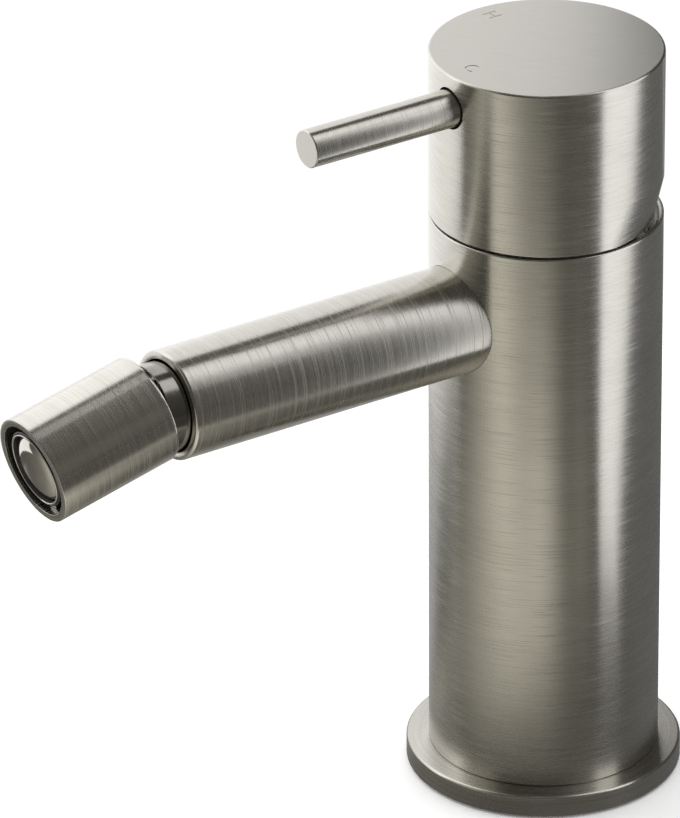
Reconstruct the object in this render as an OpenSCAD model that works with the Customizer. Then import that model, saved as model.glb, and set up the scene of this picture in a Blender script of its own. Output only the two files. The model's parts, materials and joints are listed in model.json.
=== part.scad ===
// Single-lever bidet mixer, in millimetres.
// Z is up, the spout points to -Y, the deck is Z = 0 and the body's axis is the Z axis.

/* [Body] */
// Outside diameter of the upright body
body_d = 46; // [44:0.5:54]
// Height of the body's rim above the deck
body_h = 120.4; // [100:0.1:160]
// Wall of the body tube
body_wall = 3; // [2.6:0.1:3.4]
// Wall left at the rim, where the tilted handle dips in
rim_wall = 1.2; // [1:0.1:1.4]
// Depth of the wide mouth below the rim
mouth_depth = 3; // [2.6:0.1:4]
// Bevel on the rim's inner edge
mouth_bevel = 0.6; // [0.5:0.05:0.7]
// Bevel on the outer edges of the body
body_bevel = 0.3; // [0.1:0.05:0.5]

/* [Base] */
// Lip of the base flange outside the body
flange_lip = 4.5; // [4:0.1:12]
// Thickness of the base flange
flange_t = 4.35; // [3.5:0.05:8]
// Bevel round the top of the base flange
flange_bevel = 0.4; // [0.2:0.1:1]
// Wall of the body's spigot inside the flange
spigot_wall = 1.5; // [1:0.1:2]
// Width of the deck seal
seal_w = 2.5; // [1.5:0.1:3]
// Thickness of the deck seal
seal_t = 1.6; // [1:0.1:2.5]
// Height of the base insert
insert_h = 16; // [15:0.5:24]
// Hose thread, tapping diameter for M10 x 1
inlet_d = 9; // [8:0.1:10]
// Depth of the hose threads
inlet_depth = 11; // [9:0.5:12]
// Sideways distance of the water inlets from the axis
inlet_x = 9.5; // [9.2:0.1:10.5]
// Distance of the water inlets behind the axis
inlet_y = 2; // [1.5:0.1:3]
// Fixing stud thread, tapping diameter for M8
stud_d = 6.8; // [5:0.1:8]
// Depth of the fixing stud thread
stud_depth = 14; // [10:0.5:15]
// Distance of the fixing stud behind the axis
stud_y = 12.5; // [12:0.1:14]

/* [Feed pipes] */
// Outside diameter of a feed pipe
pipe_d = 8; // [7.5:0.1:8.5]
// Wall of a feed pipe
pipe_wall = 1; // [0.8:0.1:1.2]
// Depth of the pipe sockets
pipe_socket = 4; // [3:0.1:4.5]
// Thickness of a pipe seal
pipe_seal_t = 1; // [0.8:0.1:1.5]
// Height of the valve manifold
manifold_h = 27.2; // [26:0.1:32]
// Diameter of the cross drillings to the cartridge
cross_d = 3.6; // [3:0.1:3.6]
// Wall above the cross drillings
cross_roof = 1; // [0.8:0.1:1.1]
// Diameter of the drilling from the cartridge to the spout
outlet_d = 6.2; // [5:0.1:6.4]

/* [Spout] */
// Depth of the spout's axis below the body's rim
spout_drop = 17.75; // [17.5:0.05:18.2]
// Outside diameter of the spout
spout_d = 21.8; // [21.4:0.1:24]
// Distance of the spout's end from the body's axis
spout_l = 88.4; // [75:0.1:140]
// Bevel round the spout's end
spout_bevel = 0.7; // [0.3:0.1:1]
// Diameter of the bore at the spout's end
spout_mouth_d = 18.6; // [18.2:0.1:19]
// Depth of the bore at the spout's end
spout_mouth_depth = 16.4; // [15:0.1:20]
// Diameter of the waterway in the spout
waterway_d = 10; // [8:0.5:10]
// Diameter of the spigot that enters the manifold
spout_spigot_d = 15; // [14.6:0.1:15.4]
// Length of the spigot
spout_spigot_l = 4; // [3.5:0.1:5]
// Width of the seal on the spigot
spout_seal_w = 1.6; // [1.2:0.1:2]
// Gap between the spout's root and the cartridge
spout_gap = 0.1; // [0.05:0.01:0.3]

/* [Swivel] */
// Distance of the ball's centre beyond the spout's end
ball_reach = 7.8; // [7.6:0.05:8.4]
// Diameter of the ball
ball_d = 13.6; // [13:0.1:13.8]
// Distance from the ball's centre to its cut front
ball_front = 6.1; // [6:0.05:6.4]
// Water bore through the ball and shank
ball_bore_d = 5.2; // [4:0.1:5.4]
// Diameter of the ball's threaded shank
shank_d = 8.4; // [7.6:0.1:8.8]
// Room behind the shank in the spout
shank_play = 0.5; // [0.2:0.1:1]
// Diameter of the polished neck
neck_d = 17.9; // [17:0.1:18.1]
// Distance from the ball's centre back to the neck's front edge
neck_back = 3.6; // [3.4:0.05:4]
// Depth of the dish in the neck's front
neck_dish = 1; // [0.8:0.05:1.2]
// Rim left round the dish
neck_rim = 0.35; // [0.3:0.05:0.4]
// Slope width of the dish's edge
neck_slope = 1.4; // [1.2:0.05:1.6]
// Length of the bush in the spout
bush_l = 10; // [8:0.1:11]
// Thickness of the neck's washer
neck_washer_t = 1; // [0.6:0.1:1.5]
// Wall of the ball liner
liner_wall = 1.17; // [1.1:0.01:1.25]
// Reach of the liner behind the ball's centre
liner_back = 2.8; // [2.4:0.1:3]
// Reach of the liner before the ball's centre
liner_front = 2.4; // [2:0.1:2.5]

/* [Nozzle] */
// Droop of the nozzle below the spout's line, degrees
nozzle_tilt = 13.3; // [0:0.1:15]
// Outside diameter of the nozzle
nozzle_d = 21.8; // [21.6:0.1:23]
// Distance from the ball's centre to the outlet
nozzle_front = 22.9; // [22.5:0.1:30]
// Distance from the ball's centre back to the rear rim
nozzle_back = 3.5; // [3.2:0.05:3.6]
// Wall of the skirt over the neck
skirt_wall = 0.45; // [0.4:0.01:0.45]
// Distance from the ball's centre back to the skirt's floor
skirt_floor = 0.7; // [0.6:0.05:0.75]
// Distance from the ball's centre back to the lip's edge
lip_back = 1.8; // [1.6:0.05:1.9]
// Wall of the lip at its edge
lip_wall = 0.48; // [0.45:0.01:0.5]
// Width of the lip's outer slope
lip_slope = 0.9; // [0.8:0.05:1]
// Bevel on the rear rim
nozzle_bevel = 0.2; // [0.1:0.05:0.3]
// Wall of the nozzle at the outlet
outlet_wall = 1.5; // [1.4:0.05:1.7]
// Distance from the ball's centre to the aerator's seat
aerator_seat = 9; // [8.8:0.1:10]
// Width of the aerator's seat
aerator_seat_w = 0.6; // [0.5:0.05:0.7]
// Start of the retainer before the ball's centre
retainer_start = 0.5; // [0.4:0.05:0.6]
// Length of the ball retainer
retainer_l = 6.5; // [6.2:0.1:7.5]
// Bore of the ball retainer
retainer_bore_d = 8.8; // [8.4:0.1:9]
// Start of the ball seal before the ball's centre
ball_seal_start = 4.5; // [4.45:0.05:4.6]
// Thickness of the ball seal
ball_seal_t = 1.1; // [0.9:0.05:1.2]
// Diameter of the ball seal
ball_seal_d = 14; // [13.6:0.1:14.2]

/* [Aerator] */
// Thickness of the aerator's washer
aer_washer_t = 1.2; // [0.8:0.1:1.5]
// Bore of the aerator's washer
aer_washer_bore_d = 11; // [10:0.1:12]
// Length of the aerator's threaded part
aer_thread_l = 7.3; // [6.8:0.1:8]
// Diameter of the aerator's front tube
aer_tube_d = 15.2; // [15:0.1:15.4]
// Depth of the front tube below the outlet
aer_tube_recess = 1; // [0.8:0.1:1.5]
// Diameter of the aerator's rear pocket
aer_pocket_d = 16; // [15.6:0.1:16.4]
// Depth of the rear pocket
aer_pocket_depth = 3.6; // [3.4:0.1:4]
// Diameter of the aerator's throat
aer_throat_d = 11.2; // [10.5:0.1:11.6]
// Length of the throat
aer_throat_l = 1.4; // [1:0.1:1.6]
// Diameter of the chamber behind the dome
aer_chamber_d = 13.1; // [12.9:0.05:13.2]
// Outside diameter of the bright ring
aer_ring_d = 14.2; // [14:0.05:14.4]
// Wall of the bright ring
aer_ring_wall = 0.5; // [0.4:0.05:0.6]
// Length of the bright ring
aer_ring_l = 3.2; // [2.8:0.1:3.4]
// How far the bright ring stands out of the tube
aer_ring_proud = 0.3; // [0.1:0.05:0.5]
// Diameter of the dome
dome_d = 12.6; // [12.2:0.1:12.8]
// Rise of the dome
dome_rise = 1.4; // [1:0.1:2]
// Thickness of the dome's edge
dome_edge = 0.5; // [0.3:0.1:0.8]
// Depth of the dome's top below the bright ring
dome_recess = 0.2; // [0.1:0.05:0.5]
// Diameter of the dome's stem
dome_stem_d = 4.4; // [3.5:0.1:4.8]
// Thickness of the plate at the stem's foot
dome_foot_t = 1.8; // [1.4:0.1:2.4]
// Width of a key lug
lug_w = 2.4; // [1.6:0.1:3]
// Length of a key lug
lug_l = 3.6; // [2.5:0.1:4]
// Angle of the lugs about the nozzle's axis, degrees
lug_turn = 95; // [60:1:120]
// Thickness of the inlet screen
screen_t = 0.6; // [0.4:0.1:0.8]
// Spacing of the screen's rings of holes
screen_pitch = 2; // [1.8:0.1:2.2]
// Diameter of a screen hole
screen_hole_d = 1.3; // [0.8:0.1:1.6]
// Diameter of a regulator hole
regulator_hole_d = 1.8; // [1:0.1:2.2]
// Diameter of the ring that those holes lie on
regulator_ring_d = 8; // [7.5:0.1:8.5]
// Holes in the regulator and in the dome's foot
regulator_holes = 6; // [4:1:8]

/* [Handle] */
// Open gap between the body's rim and the handle
handle_gap = 0.7; // [0.6:0.05:1]
// Height of the handle cap
cap_h = 34; // [33:0.1:40]
// Wall of the handle cap's skirt
cap_wall = 3; // [2.8:0.1:3.2]
// Bevel round the top of the handle cap
cap_bevel = 0.45; // [0.2:0.05:1]
// Thickness of the cap above the stem
cap_roof = 3; // [2:0.1:4]
// Slope of the relief at the cap's rear, degrees
relief_angle = 25; // [22:0.5:28]
// Height of the relief's crossing above the cap's lower edge
relief_rise = 8.2; // [7.5:0.1:9]
// How much wider the relief's drum is than the cap
relief_ease = 0.1; // [0.05:0.01:0.15]
// Diameter of the lever
lever_d = 7.6; // [6:0.1:8]
// Distance of the lever's tip from the body's axis
lever_l = 55.8; // [45:0.1:80]
// Depth of the lever's axis below the cap's top
lever_drop = 7; // [6.8:0.1:7.2]
// Edge bevel on the lever's tip
lever_bevel = 0.2; // [0.1:0.05:0.5]
// Depth of the lever's shoulder inside the cap
lever_sink = 8; // [5:0.1:10]
// Ring gap round the lever's root
lever_ring_gap = 0.35; // [0.2:0.05:0.5]
// Diameter of the lever's threaded stud, M6
lever_stud_d = 6; // [4:0.1:6]
// Height of the hot and cold marks
mark_h = 3; // [2:0.1:4]
// Stroke of the marks
mark_stroke = 0.35; // [0.2:0.05:0.5]
// Depth of the marks
mark_depth = 0.3; // [0.1:0.05:0.5]
// Width of the hot mark
mark_w = 2.4; // [1.8:0.1:3]
// Opening of the cold mark
mark_open = 1.6; // [1:0.1:2]
// Distance of the cold mark from the cap's edge
cold_mark_edge = 5.6; // [4:0.1:8]
// Distance of the hot mark from the cap's edge
hot_mark_edge = 4.4; // [4:0.1:8]

/* [Cartridge] */
// Wall of the manifold above the spout's spigot
manifold_roof = 1.05; // [1:0.05:1.4]
// Gap round the cartridge's flange
cart_flange_gap = 1.1; // [0.8:0.1:1.4]
// Wall of the cartridge's housing
cart_wall = 1.3; // [1.2:0.05:1.4]
// Height of the cartridge's housing
cart_h = 24.8; // [24.5:0.1:25]
// Height of the neck in the housing
cart_neck_h = 7.1; // [6.8:0.1:7.4]
// Step from the housing's bore in to the neck's bore
cart_neck_step = 3.15; // [3:0.05:3.3]
// Width of the clamp nut's ring
nut_w = 4.35; // [4:0.05:4.6]
// Thickness of the clamp nut
nut_t = 1.55; // [1.5:0.05:1.7]
// Width of a spanner slot in the nut
nut_slot_w = 3; // [2:0.1:4]
// Depth of a spanner slot in the nut
nut_slot_depth = 1; // [0.6:0.1:1.4]
// Spanner slots in the nut
nut_slots = 4; // [3:1:6]
// Thickness of the cartridge's base
cart_base_t = 2.6; // [2.4:0.05:2.8]
// Diameter of the locating pegs
peg_d = 3; // [2.5:0.1:3.5]
// Height of the pegs under the base
peg_l = 1.5; // [1:0.1:2]
// Distance of the pegs from the housing's bore
peg_edge = 3.7; // [3.2:0.1:4.2]
// Place of the pegs about the axis, degrees
peg_turn = 45; // [40:1:50]
// Height of the keys that hold the fixed disc
key_h = 2.2; // [1.5:0.1:2.4]
// Height of the pegs under the disc carrier
disc_peg_l = 0.75; // [0.5:0.05:0.9]
// Thickness of the port seals
port_seal_t = 1; // [0.8:0.05:1.2]
// Width of the port seals
port_seal_w = 1; // [0.8:0.05:1.1]
// Wall inside the port seals
port_seal_land = 0.4; // [0.3:0.05:0.5]
// Diameter of the inlet ports
port_d = 4; // [3.6:0.1:4.2]
// Distance of the inlet ports from the axis
port_r = 7.5; // [7.3:0.1:7.7]
// Diameter of the outlet port in the middle
outlet_port_d = 4.8; // [4.2:0.1:4.8]
// Gap round the fixed disc
fixed_disc_gap = 0.4; // [0.3:0.05:0.6]
// Thickness of the fixed disc
fixed_disc_t = 2.8; // [2.6:0.05:3]
// Room round the moving disc at full lift
moving_disc_room = 0.8; // [0.7:0.05:1]
// Thickness of the moving disc
moving_disc_t = 2.6; // [2.4:0.05:2.8]
// Diameter of the mixing pocket under the moving disc
pocket_d = 8.8; // [8.4:0.1:9.2]
// Depth of the mixing pocket
pocket_depth = 1.5; // [1:0.1:1.6]
// Step from the moving disc in to its carrier
disc_carrier_step = 0.2; // [0.1:0.05:0.4]
// Height of the disc carrier
disc_carrier_h = 4.8; // [4.6:0.05:5]
// Floor of the socket in the disc carrier
socket_floor = 0.9; // [0.8:0.05:1]
// Height of the flange on the stem carrier
stem_carrier_flange_h = 4.8; // [4.6:0.05:5]
// How far the stem carrier stands out of the housing
stem_carrier_proud = 0.4; // [0.2:0.05:0.5]
// Width of the stop rib
stop_w = 3; // [2:0.1:4]
// Depth of the stop rib
stop_depth = 1.6; // [1.2:0.1:1.8]
// Place of the stop rib about the axis, degrees
stop_angle = 100; // [90:1:110]
// Play of the stop at each end, degrees
stop_play = 1; // [0.5:0.1:2]
// Turn of the handle from cold to hot, degrees
turn_angle = 90; // [60:1:100]
// Lift of the handle from shut to full flow, degrees
lift_angle = 16; // [10:0.5:16]
// Height of the stem's pivot above the manifold
pivot_rise = 21.8; // [21.6:0.05:22]
// Diameter of the pivot pin
pin_d = 3; // [2.5:0.1:3.5]
// Width of the stem's square
stem_w = 8; // [7:0.1:8.4]
// Length of the square below the pivot
stem_tail = 3; // [2.8:0.1:3.4]
// Distance of the stem's tip ball below the pivot
tip_drop = 10.2; // [10:0.05:10.4]
// Diameter of the stem's tip ball
tip_d = 4.8; // [4.4:0.1:5]
// Diameter of the stem below the square
stem_shank_d = 4.4; // [4:0.1:4.6]
// Diameter of the stem beside the tip ball
tip_neck_d = 3.4; // [3:0.1:3.6]

/* [Fits] */
// Radial gap of pressed and threaded parts
fit = 0.05; // [0.02:0.01:0.08]
// Gap of parts that slide or turn on each other
slide = 0.05; // [0.03:0.01:0.1]
// Radial gap of the stem's tip in its socket
tip_gap = 0.1; // [0.08:0.01:0.15]
// Open room round parts that swing
room = 0.4; // [0.3:0.05:0.5]

/* [Hidden] */
$fn = 96;
// How far a cut runs past a face
over = 1;
body_r = body_d / 2;
bore_r = body_r - body_wall;
mouth_r = body_r - rim_wall;
flange_r = body_r + flange_lip;
spigot_r = bore_r + spigot_wall;
seal_r = (spigot_r + flange_r - seal_w) / 2;
cart_flange_r = bore_r - cart_flange_gap;
spout_r = spout_d / 2;
spout_seat = cart_flange_r + spout_gap;
spout_z = body_h - spout_drop;
spout_spigot_r = spout_spigot_d / 2;
spout_tip = spout_seat - spout_spigot_l;
spout_mouth_r = spout_mouth_d / 2;
mouth_floor = spout_l - spout_mouth_depth;
waterway_r = waterway_d / 2;
spout_ring_l = spout_tip + (spout_spigot_l - spout_seal_w) / 2;
spout_ring_r = (waterway_r + spout_spigot_r) / 2;
manifold_top = spout_z + spout_spigot_r + manifold_roof;
manifold_z = manifold_top - manifold_h;
pipe_r = pipe_d / 2;
pipe_low = insert_h - pipe_socket + pipe_seal_t;
pipe_high = manifold_z + pipe_socket - pipe_seal_t;
feed_r = pipe_r - pipe_wall;
port_rad = port_d / 2;
outlet_port_r = outlet_port_d / 2;
cross_r = cross_d / 2;
cross_z = manifold_top - cross_roof - cross_r;
outlet_r = outlet_d / 2;
ball_r = ball_d / 2;
ball_l = spout_l + ball_reach;
bush_end = mouth_floor + bush_l;
neck_rear = bush_end + neck_washer_t - ball_l;
shank_r = shank_d / 2;
shank_l = ball_reach + spout_mouth_depth - shank_play;
neck_r = neck_d / 2;
cup_r = ball_r + slide;
liner_r = cup_r + liner_wall;
seat_r = liner_r + slide;
nozzle_r = nozzle_d / 2;
skirt_r = nozzle_r - skirt_wall;
outlet_bore_r = nozzle_r - outlet_wall;
inner_r = outlet_bore_r - aerator_seat_w;
lip_r = sqrt(pow(seat_r, 2) - pow(lip_back, 2)) + lip_wall;
aer_rear = aerator_seat + aer_washer_t;
aer_shoulder = aer_rear + aer_thread_l;
aer_front = nozzle_front - aer_tube_recess;
aer_throat = aer_rear + aer_pocket_depth;
aer_chamber = aer_throat + aer_throat_l;
aer_ring_front = aer_front + aer_ring_proud;
aer_ring_seat = aer_ring_front - aer_ring_l;
dome_top = aer_ring_front - dome_recess;
dome_sphere_r = (pow(dome_d / 2, 2) + pow(dome_rise, 2)) / (2 * dome_rise);
cap_z = body_h + handle_gap;
cap_top = cap_z + cap_h;
cap_bore_r = body_r - cap_wall;
lever_z = cap_top - lever_drop;
lever_seat = body_r - lever_sink;
lever_r = lever_d / 2;
lever_stud_r = lever_stud_d / 2;
cart_r = bore_r - nut_w - 3 * fit;
cart_bore_r = cart_r - cart_wall;
// The clamp nut lies on this flange and clears the spout's root
cart_flange_t = spout_r + spout_gap - spout_spigot_r - manifold_roof;
cart_top = manifold_top + cart_h;
cart_neck_z = cart_top - cart_neck_h;
cart_neck_r = cart_bore_r - cart_neck_step;
peg_r = cart_bore_r - peg_edge;
fixed_disc_r = cart_bore_r - fixed_disc_gap;
moving_disc_r = cart_bore_r - tip_drop * sin(lift_angle) - moving_disc_room;
disc_carrier_r = moving_disc_r - disc_carrier_step;
fixed_disc_z = manifold_top + cart_base_t;
moving_disc_z = fixed_disc_z + fixed_disc_t + slide / 2;
disc_carrier_z = moving_disc_z + moving_disc_t;
disc_carrier_top = disc_carrier_z + disc_carrier_h;
pivot_z = manifold_top + pivot_rise;
tip_z = pivot_z - tip_drop;
stem_carrier_z = cart_neck_z - slide - stem_carrier_flange_h;
stem_carrier_top = cart_top + stem_carrier_proud;
stem_top = cap_top - cap_roof;
// Underside of the cap's solid top, clear of the housing at full lift
hub_z = pivot_z + (cart_top - pivot_z + room + cart_r * sin(lift_angle)) / cos(lift_angle);
slot_w = stem_w + 2 * tip_gap;
slot_low = stem_shank_d / 2 + (pivot_z - stem_carrier_z) * sin(lift_angle);
slot_high = stem_w / 2 + (stem_carrier_top - pivot_z) * sin(lift_angle);
slot_l = 2 * max(slot_low, slot_high) / cos(lift_angle) + 2 * room;
stop_half = asin(stop_w / 2 / (cart_bore_r - stop_depth));

// Placement along the spout's axis, local Z pointing out of the spout
module on_spout(l) {
  translate([0, -l, spout_z]) rotate([90, 0, 0]) children();
}

// Placement along the nozzle's axis, measured from the ball's centre
module on_nozzle(s) {
  translate([0, -ball_l, spout_z]) rotate([90 + nozzle_tilt, 0, 0]) translate([0, 0, s]) children();
}

// Placement along the lever's axis
module on_lever(l) {
  translate([0, -l, lever_z]) rotate([90, 0, 0]) children();
}

module lift(z) {
  translate([0, 0, z]) children();
}

module rod(r, z0, z1) {
  lift(z0) cylinder(r = r, h = z1 - z0);
}

module tube(ro, ri, z0, z1) {
  difference() {
    rod(ro, z0, z1);
    rod(ri, z0 - over, z1 + over);
  }
}

module lathe(points) {
  rotate_extrude() polygon(points);
}

// Level drilling between two points in plan
module drilling(a, b, z, r) {
  translate([a[0], a[1], z])
    rotate([0, 90, atan2(b[1] - a[1], b[0] - a[0])])
      cylinder(r = r, h = norm(b - a));
}

module at_inlets() {
  for (side = [-1, 1]) translate([side * inlet_x, inlet_y, 0]) children();
}

// Cold port in front, hot port at the left
module at_ports() {
  translate([0, -port_r, 0]) children();
  translate([-port_r, 0, 0]) children();
}

module body_shell() {
  color("silver") difference() {
    lathe([
      [bore_r, 0],
      [spigot_r, 0],
      [spigot_r, flange_t],
      [body_r - body_bevel, flange_t],
      [body_r, flange_t + body_bevel],
      [body_r, body_h - body_bevel],
      [body_r - body_bevel, body_h],
      [mouth_r + mouth_bevel, body_h],
      [mouth_r, body_h - mouth_bevel],
      [mouth_r, body_h - mouth_depth],
      [bore_r, body_h - mouth_depth]
    ]);
    on_spout(0) cylinder(r = spout_r + fit, h = body_d);
  }
}

module base_flange() {
  color("silver") lathe([
    [spigot_r + fit, 0],
    [seal_r, 0],
    [seal_r, seal_t],
    [seal_r + seal_w, seal_t],
    [seal_r + seal_w, 0],
    [flange_r, 0],
    [flange_r, flange_t - flange_bevel],
    [flange_r - flange_bevel, flange_t],
    [spigot_r + fit, flange_t]
  ]);
}

module base_seal() {
  color("dimgray") tube(seal_r + seal_w - fit, seal_r + fit, 0, seal_t);
}

module base_insert() {
  color("goldenrod") difference() {
    rod(bore_r - fit, 0, insert_h);
    at_inlets() {
      rod(inlet_d / 2, -over, inlet_depth);
      rod(feed_r, 0, insert_h);
      rod(pipe_r + fit, insert_h - pipe_socket, insert_h + over);
    }
    translate([0, stud_y, 0]) rod(stud_d / 2, -over, stud_depth);
  }
}

module feed_pipe() {
  color("peru") tube(pipe_r, feed_r, pipe_low, pipe_high);
}

module hot_feed_pipe() {
  translate([-inlet_x, inlet_y, 0]) feed_pipe();
}

module cold_feed_pipe() {
  translate([inlet_x, inlet_y, 0]) feed_pipe();
}

module feed_seals() {
  color("dimgray") at_inlets() {
    tube(pipe_r, feed_r, pipe_low - pipe_seal_t, pipe_low);
    tube(pipe_r, feed_r, pipe_high, pipe_high + pipe_seal_t);
  }
}

module valve_manifold() {
  cold = [inlet_x, inlet_y];
  hot = [-inlet_x, inlet_y];
  color("goldenrod") difference() {
    rod(bore_r - fit, manifold_z, manifold_top);
    at_inlets() {
      rod(pipe_r + fit, manifold_z - over, manifold_z + pipe_socket);
      rod(feed_r, manifold_z, cross_z + cross_r);
    }
    drilling(cold, [0, -port_r], cross_z, cross_r);
    drilling(hot, [-port_r, 0], cross_z, cross_r);
    at_ports() rod(port_rad, cross_z, manifold_top + over);
    rod(outlet_port_r, spout_z, manifold_top + over);
    on_spout(-outlet_r) cylinder(r = outlet_r, h = spout_tip + 2 * outlet_r);
    on_spout(spout_tip - fit) cylinder(r = spout_spigot_r + fit, h = body_r);
    on_spout(spout_seat) cylinder(r = spout_r + fit, h = body_r);
    at_pegs() rod(peg_d / 2 + fit, manifold_top - peg_l - fit, manifold_top + over);
  }
}

module cartridge_base() {
  color("whitesmoke") difference() {
    union() {
      rod(cart_bore_r - fit, manifold_top, fixed_disc_z);
      at_pegs() rod(peg_d / 2, manifold_top - peg_l, manifold_top + over);
      intersection() {
        at_keys() rod(peg_d / 2, fixed_disc_z - over, fixed_disc_z + key_h);
        rod(cart_bore_r - fit, manifold_top, cart_top);
      }
    }
    at_ports() port_hole(port_rad);
    port_hole(outlet_port_r);
  }
}

// Two pegs that place the cartridge on the manifold
module at_pegs() {
  for (side = [0, 180]) rotate(peg_turn + side) translate([peg_r, 0, 0]) children();
}

// Two keys at the fixed disc's edge
module at_keys() {
  for (side = [-1, 1]) translate([side * fixed_disc_r, 0, 0]) children();
}

// One port through the cartridge's base with the groove of its seal
module port_hole(r) {
  rod(r, manifold_top - over, fixed_disc_z + over);
  tube(r + port_seal_land + port_seal_w, r + port_seal_land, manifold_top - over, manifold_top + port_seal_t);
}

module port_seal(r) {
  inner = r + port_seal_land;
  tube(inner + port_seal_w - fit, inner + fit, manifold_top, manifold_top + port_seal_t);
}

module port_seals() {
  color("dimgray") {
    at_ports() port_seal(port_rad);
    port_seal(outlet_port_r);
  }
}

module fixed_disc() {
  color("ghostwhite") difference() {
    rod(fixed_disc_r, fixed_disc_z, fixed_disc_z + fixed_disc_t);
    at_ports() rod(port_rad, fixed_disc_z - over, moving_disc_z + over);
    rod(outlet_port_r, fixed_disc_z - over, moving_disc_z + over);
    at_keys() rod(peg_d / 2 + fit, fixed_disc_z - over, moving_disc_z + over);
  }
}

module cartridge_housing() {
  color("whitesmoke") {
    difference() {
      union() {
        rod(cart_flange_r, manifold_top, manifold_top + cart_flange_t);
        rod(cart_r, manifold_top, cart_top);
      }
      rod(cart_bore_r, manifold_top - over, cart_neck_z);
      rod(cart_neck_r, cart_neck_z - over, cart_top + over);
    }
    stop_rib();
  }
}

// Rib inside the housing that ends the handle's turn
module stop_rib() {
  intersection() {
    tube(cart_r, cart_bore_r - stop_depth, stem_carrier_z, cart_neck_z + over);
    rotate(stop_angle) translate([0, -stop_w / 2, 0]) cube([cart_r, stop_w, cart_top]);
  }
}

module cartridge_nut() {
  low = manifold_top + cart_flange_t;
  high = low + nut_t;
  color("goldenrod") difference() {
    tube(bore_r - fit, cart_r + 2 * fit, low, high);
    for (i = [0 : nut_slots - 1]) rotate(i * 360 / nut_slots)
      translate([cart_r - over, -nut_slot_w / 2, high - nut_slot_depth])
        cube([over + (bore_r - cart_r) / 2, nut_slot_w, nut_slot_depth + over]);
  }
}

module spout_tube() {
  color("silver") on_spout(0) lathe([
    [waterway_r, spout_tip],
    [spout_spigot_r, spout_tip],
    [spout_spigot_r, spout_ring_l],
    [spout_ring_r, spout_ring_l],
    [spout_ring_r, spout_ring_l + spout_seal_w],
    [spout_spigot_r, spout_ring_l + spout_seal_w],
    [spout_spigot_r, spout_seat],
    [spout_r, spout_seat],
    [spout_r, spout_l - spout_bevel],
    [spout_r - spout_bevel, spout_l],
    [spout_mouth_r, spout_l],
    [spout_mouth_r, mouth_floor],
    [waterway_r, mouth_floor]
  ]);
}

module spout_seal() {
  color("dimgray") on_spout(spout_ring_l)
    tube(spout_spigot_r, spout_ring_r + fit, 0, spout_seal_w);
}

module spout_bush() {
  color("goldenrod") on_spout(mouth_floor) tube(spout_mouth_r - fit, shank_r + fit, 0, bush_l);
}

module ball_stem() {
  color("gainsboro") on_spout(ball_l) difference() {
    union() {
      sphere(r = ball_r);
      rod(shank_r, -shank_l, 0);
    }
    rod(ball_bore_d / 2, -shank_l - over, ball_r + over);
    rod(ball_r, ball_front, ball_r + over);
  }
}

module swivel_neck() {
  front = -neck_back;
  floor = front - neck_dish;
  color("gainsboro") on_spout(ball_l) difference() {
    lathe([
      [shank_r + fit, neck_rear],
      [neck_r, neck_rear],
      [neck_r, front],
      [neck_r - neck_rim, front],
      [neck_r - neck_rim - neck_slope, floor],
      [shank_r + fit, floor]
    ]);
    sphere(r = cup_r);
  }
}

module neck_washer() {
  color("dimgray") on_spout(bush_end) tube(neck_r, shank_r + fit, 0, neck_washer_t);
}

module stem_carrier() {
  color("lightgray") difference() {
    union() {
      rod(cart_bore_r - 2 * slide, stem_carrier_z, cart_neck_z - slide);
      rod(cart_neck_r - slide, cart_neck_z - slide, stem_carrier_top);
    }
    translate([-slot_w / 2, -slot_l / 2, stem_carrier_z - over]) cube([slot_w, slot_l, cart_top]);
    lift(pivot_z) rotate([0, 90, 0]) rod(pin_d / 2 + fit, -cart_r, cart_r);
    stop_slot();
  }
}

// Sector cut from the carrier's flange, as wide as the handle's turn
module stop_slot() {
  start = stop_angle - stop_half - stop_play;
  lift(stem_carrier_z - over) rotate(start)
    rotate_extrude(angle = turn_angle + 2 * (stop_half + stop_play))
      translate([cart_bore_r - stop_depth - room, 0])
        square([stop_depth + 2 * room, stem_carrier_flange_h + 2 * over]);
}

module stem_pin() {
  half = cart_neck_r - slide - room;
  color("gainsboro") lift(pivot_z) rotate([0, 90, 0]) rod(pin_d / 2, -half, half);
}

module disc_carrier() {
  color("whitesmoke") difference() {
    union() {
      rod(disc_carrier_r, disc_carrier_z, disc_carrier_top);
      at_disc_pegs() rod(peg_d / 2, disc_carrier_z - disc_peg_l, disc_carrier_z + over);
    }
    rod(tip_d / 2 + tip_gap, disc_carrier_z + socket_floor, disc_carrier_top + over);
  }
}

module at_disc_pegs() {
  for (side = [-1, 1]) translate([side * port_r, 0, 0]) children();
}

module moving_disc() {
  color("ghostwhite") difference() {
    rod(moving_disc_r, moving_disc_z, disc_carrier_z);
    rod(pocket_d / 2, moving_disc_z - over, moving_disc_z + pocket_depth);
    at_disc_pegs() rod(peg_d / 2 + fit, disc_carrier_z - disc_peg_l - fit, disc_carrier_z + over);
  }
}

module cartridge_stem() {
  color("gainsboro") difference() {
    union() {
      translate([-stem_w / 2, -stem_w / 2, pivot_z - stem_tail])
        cube([stem_w, stem_w, stem_top - pivot_z + stem_tail]);
      rod(stem_shank_d / 2, disc_carrier_top + room, pivot_z);
      rod(tip_neck_d / 2, tip_z, pivot_z);
      lift(tip_z) sphere(r = tip_d / 2);
    }
    lift(pivot_z) rotate([0, 90, 0]) rod(pin_d / 2 + fit, -stem_w, stem_w);
  }
}

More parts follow.
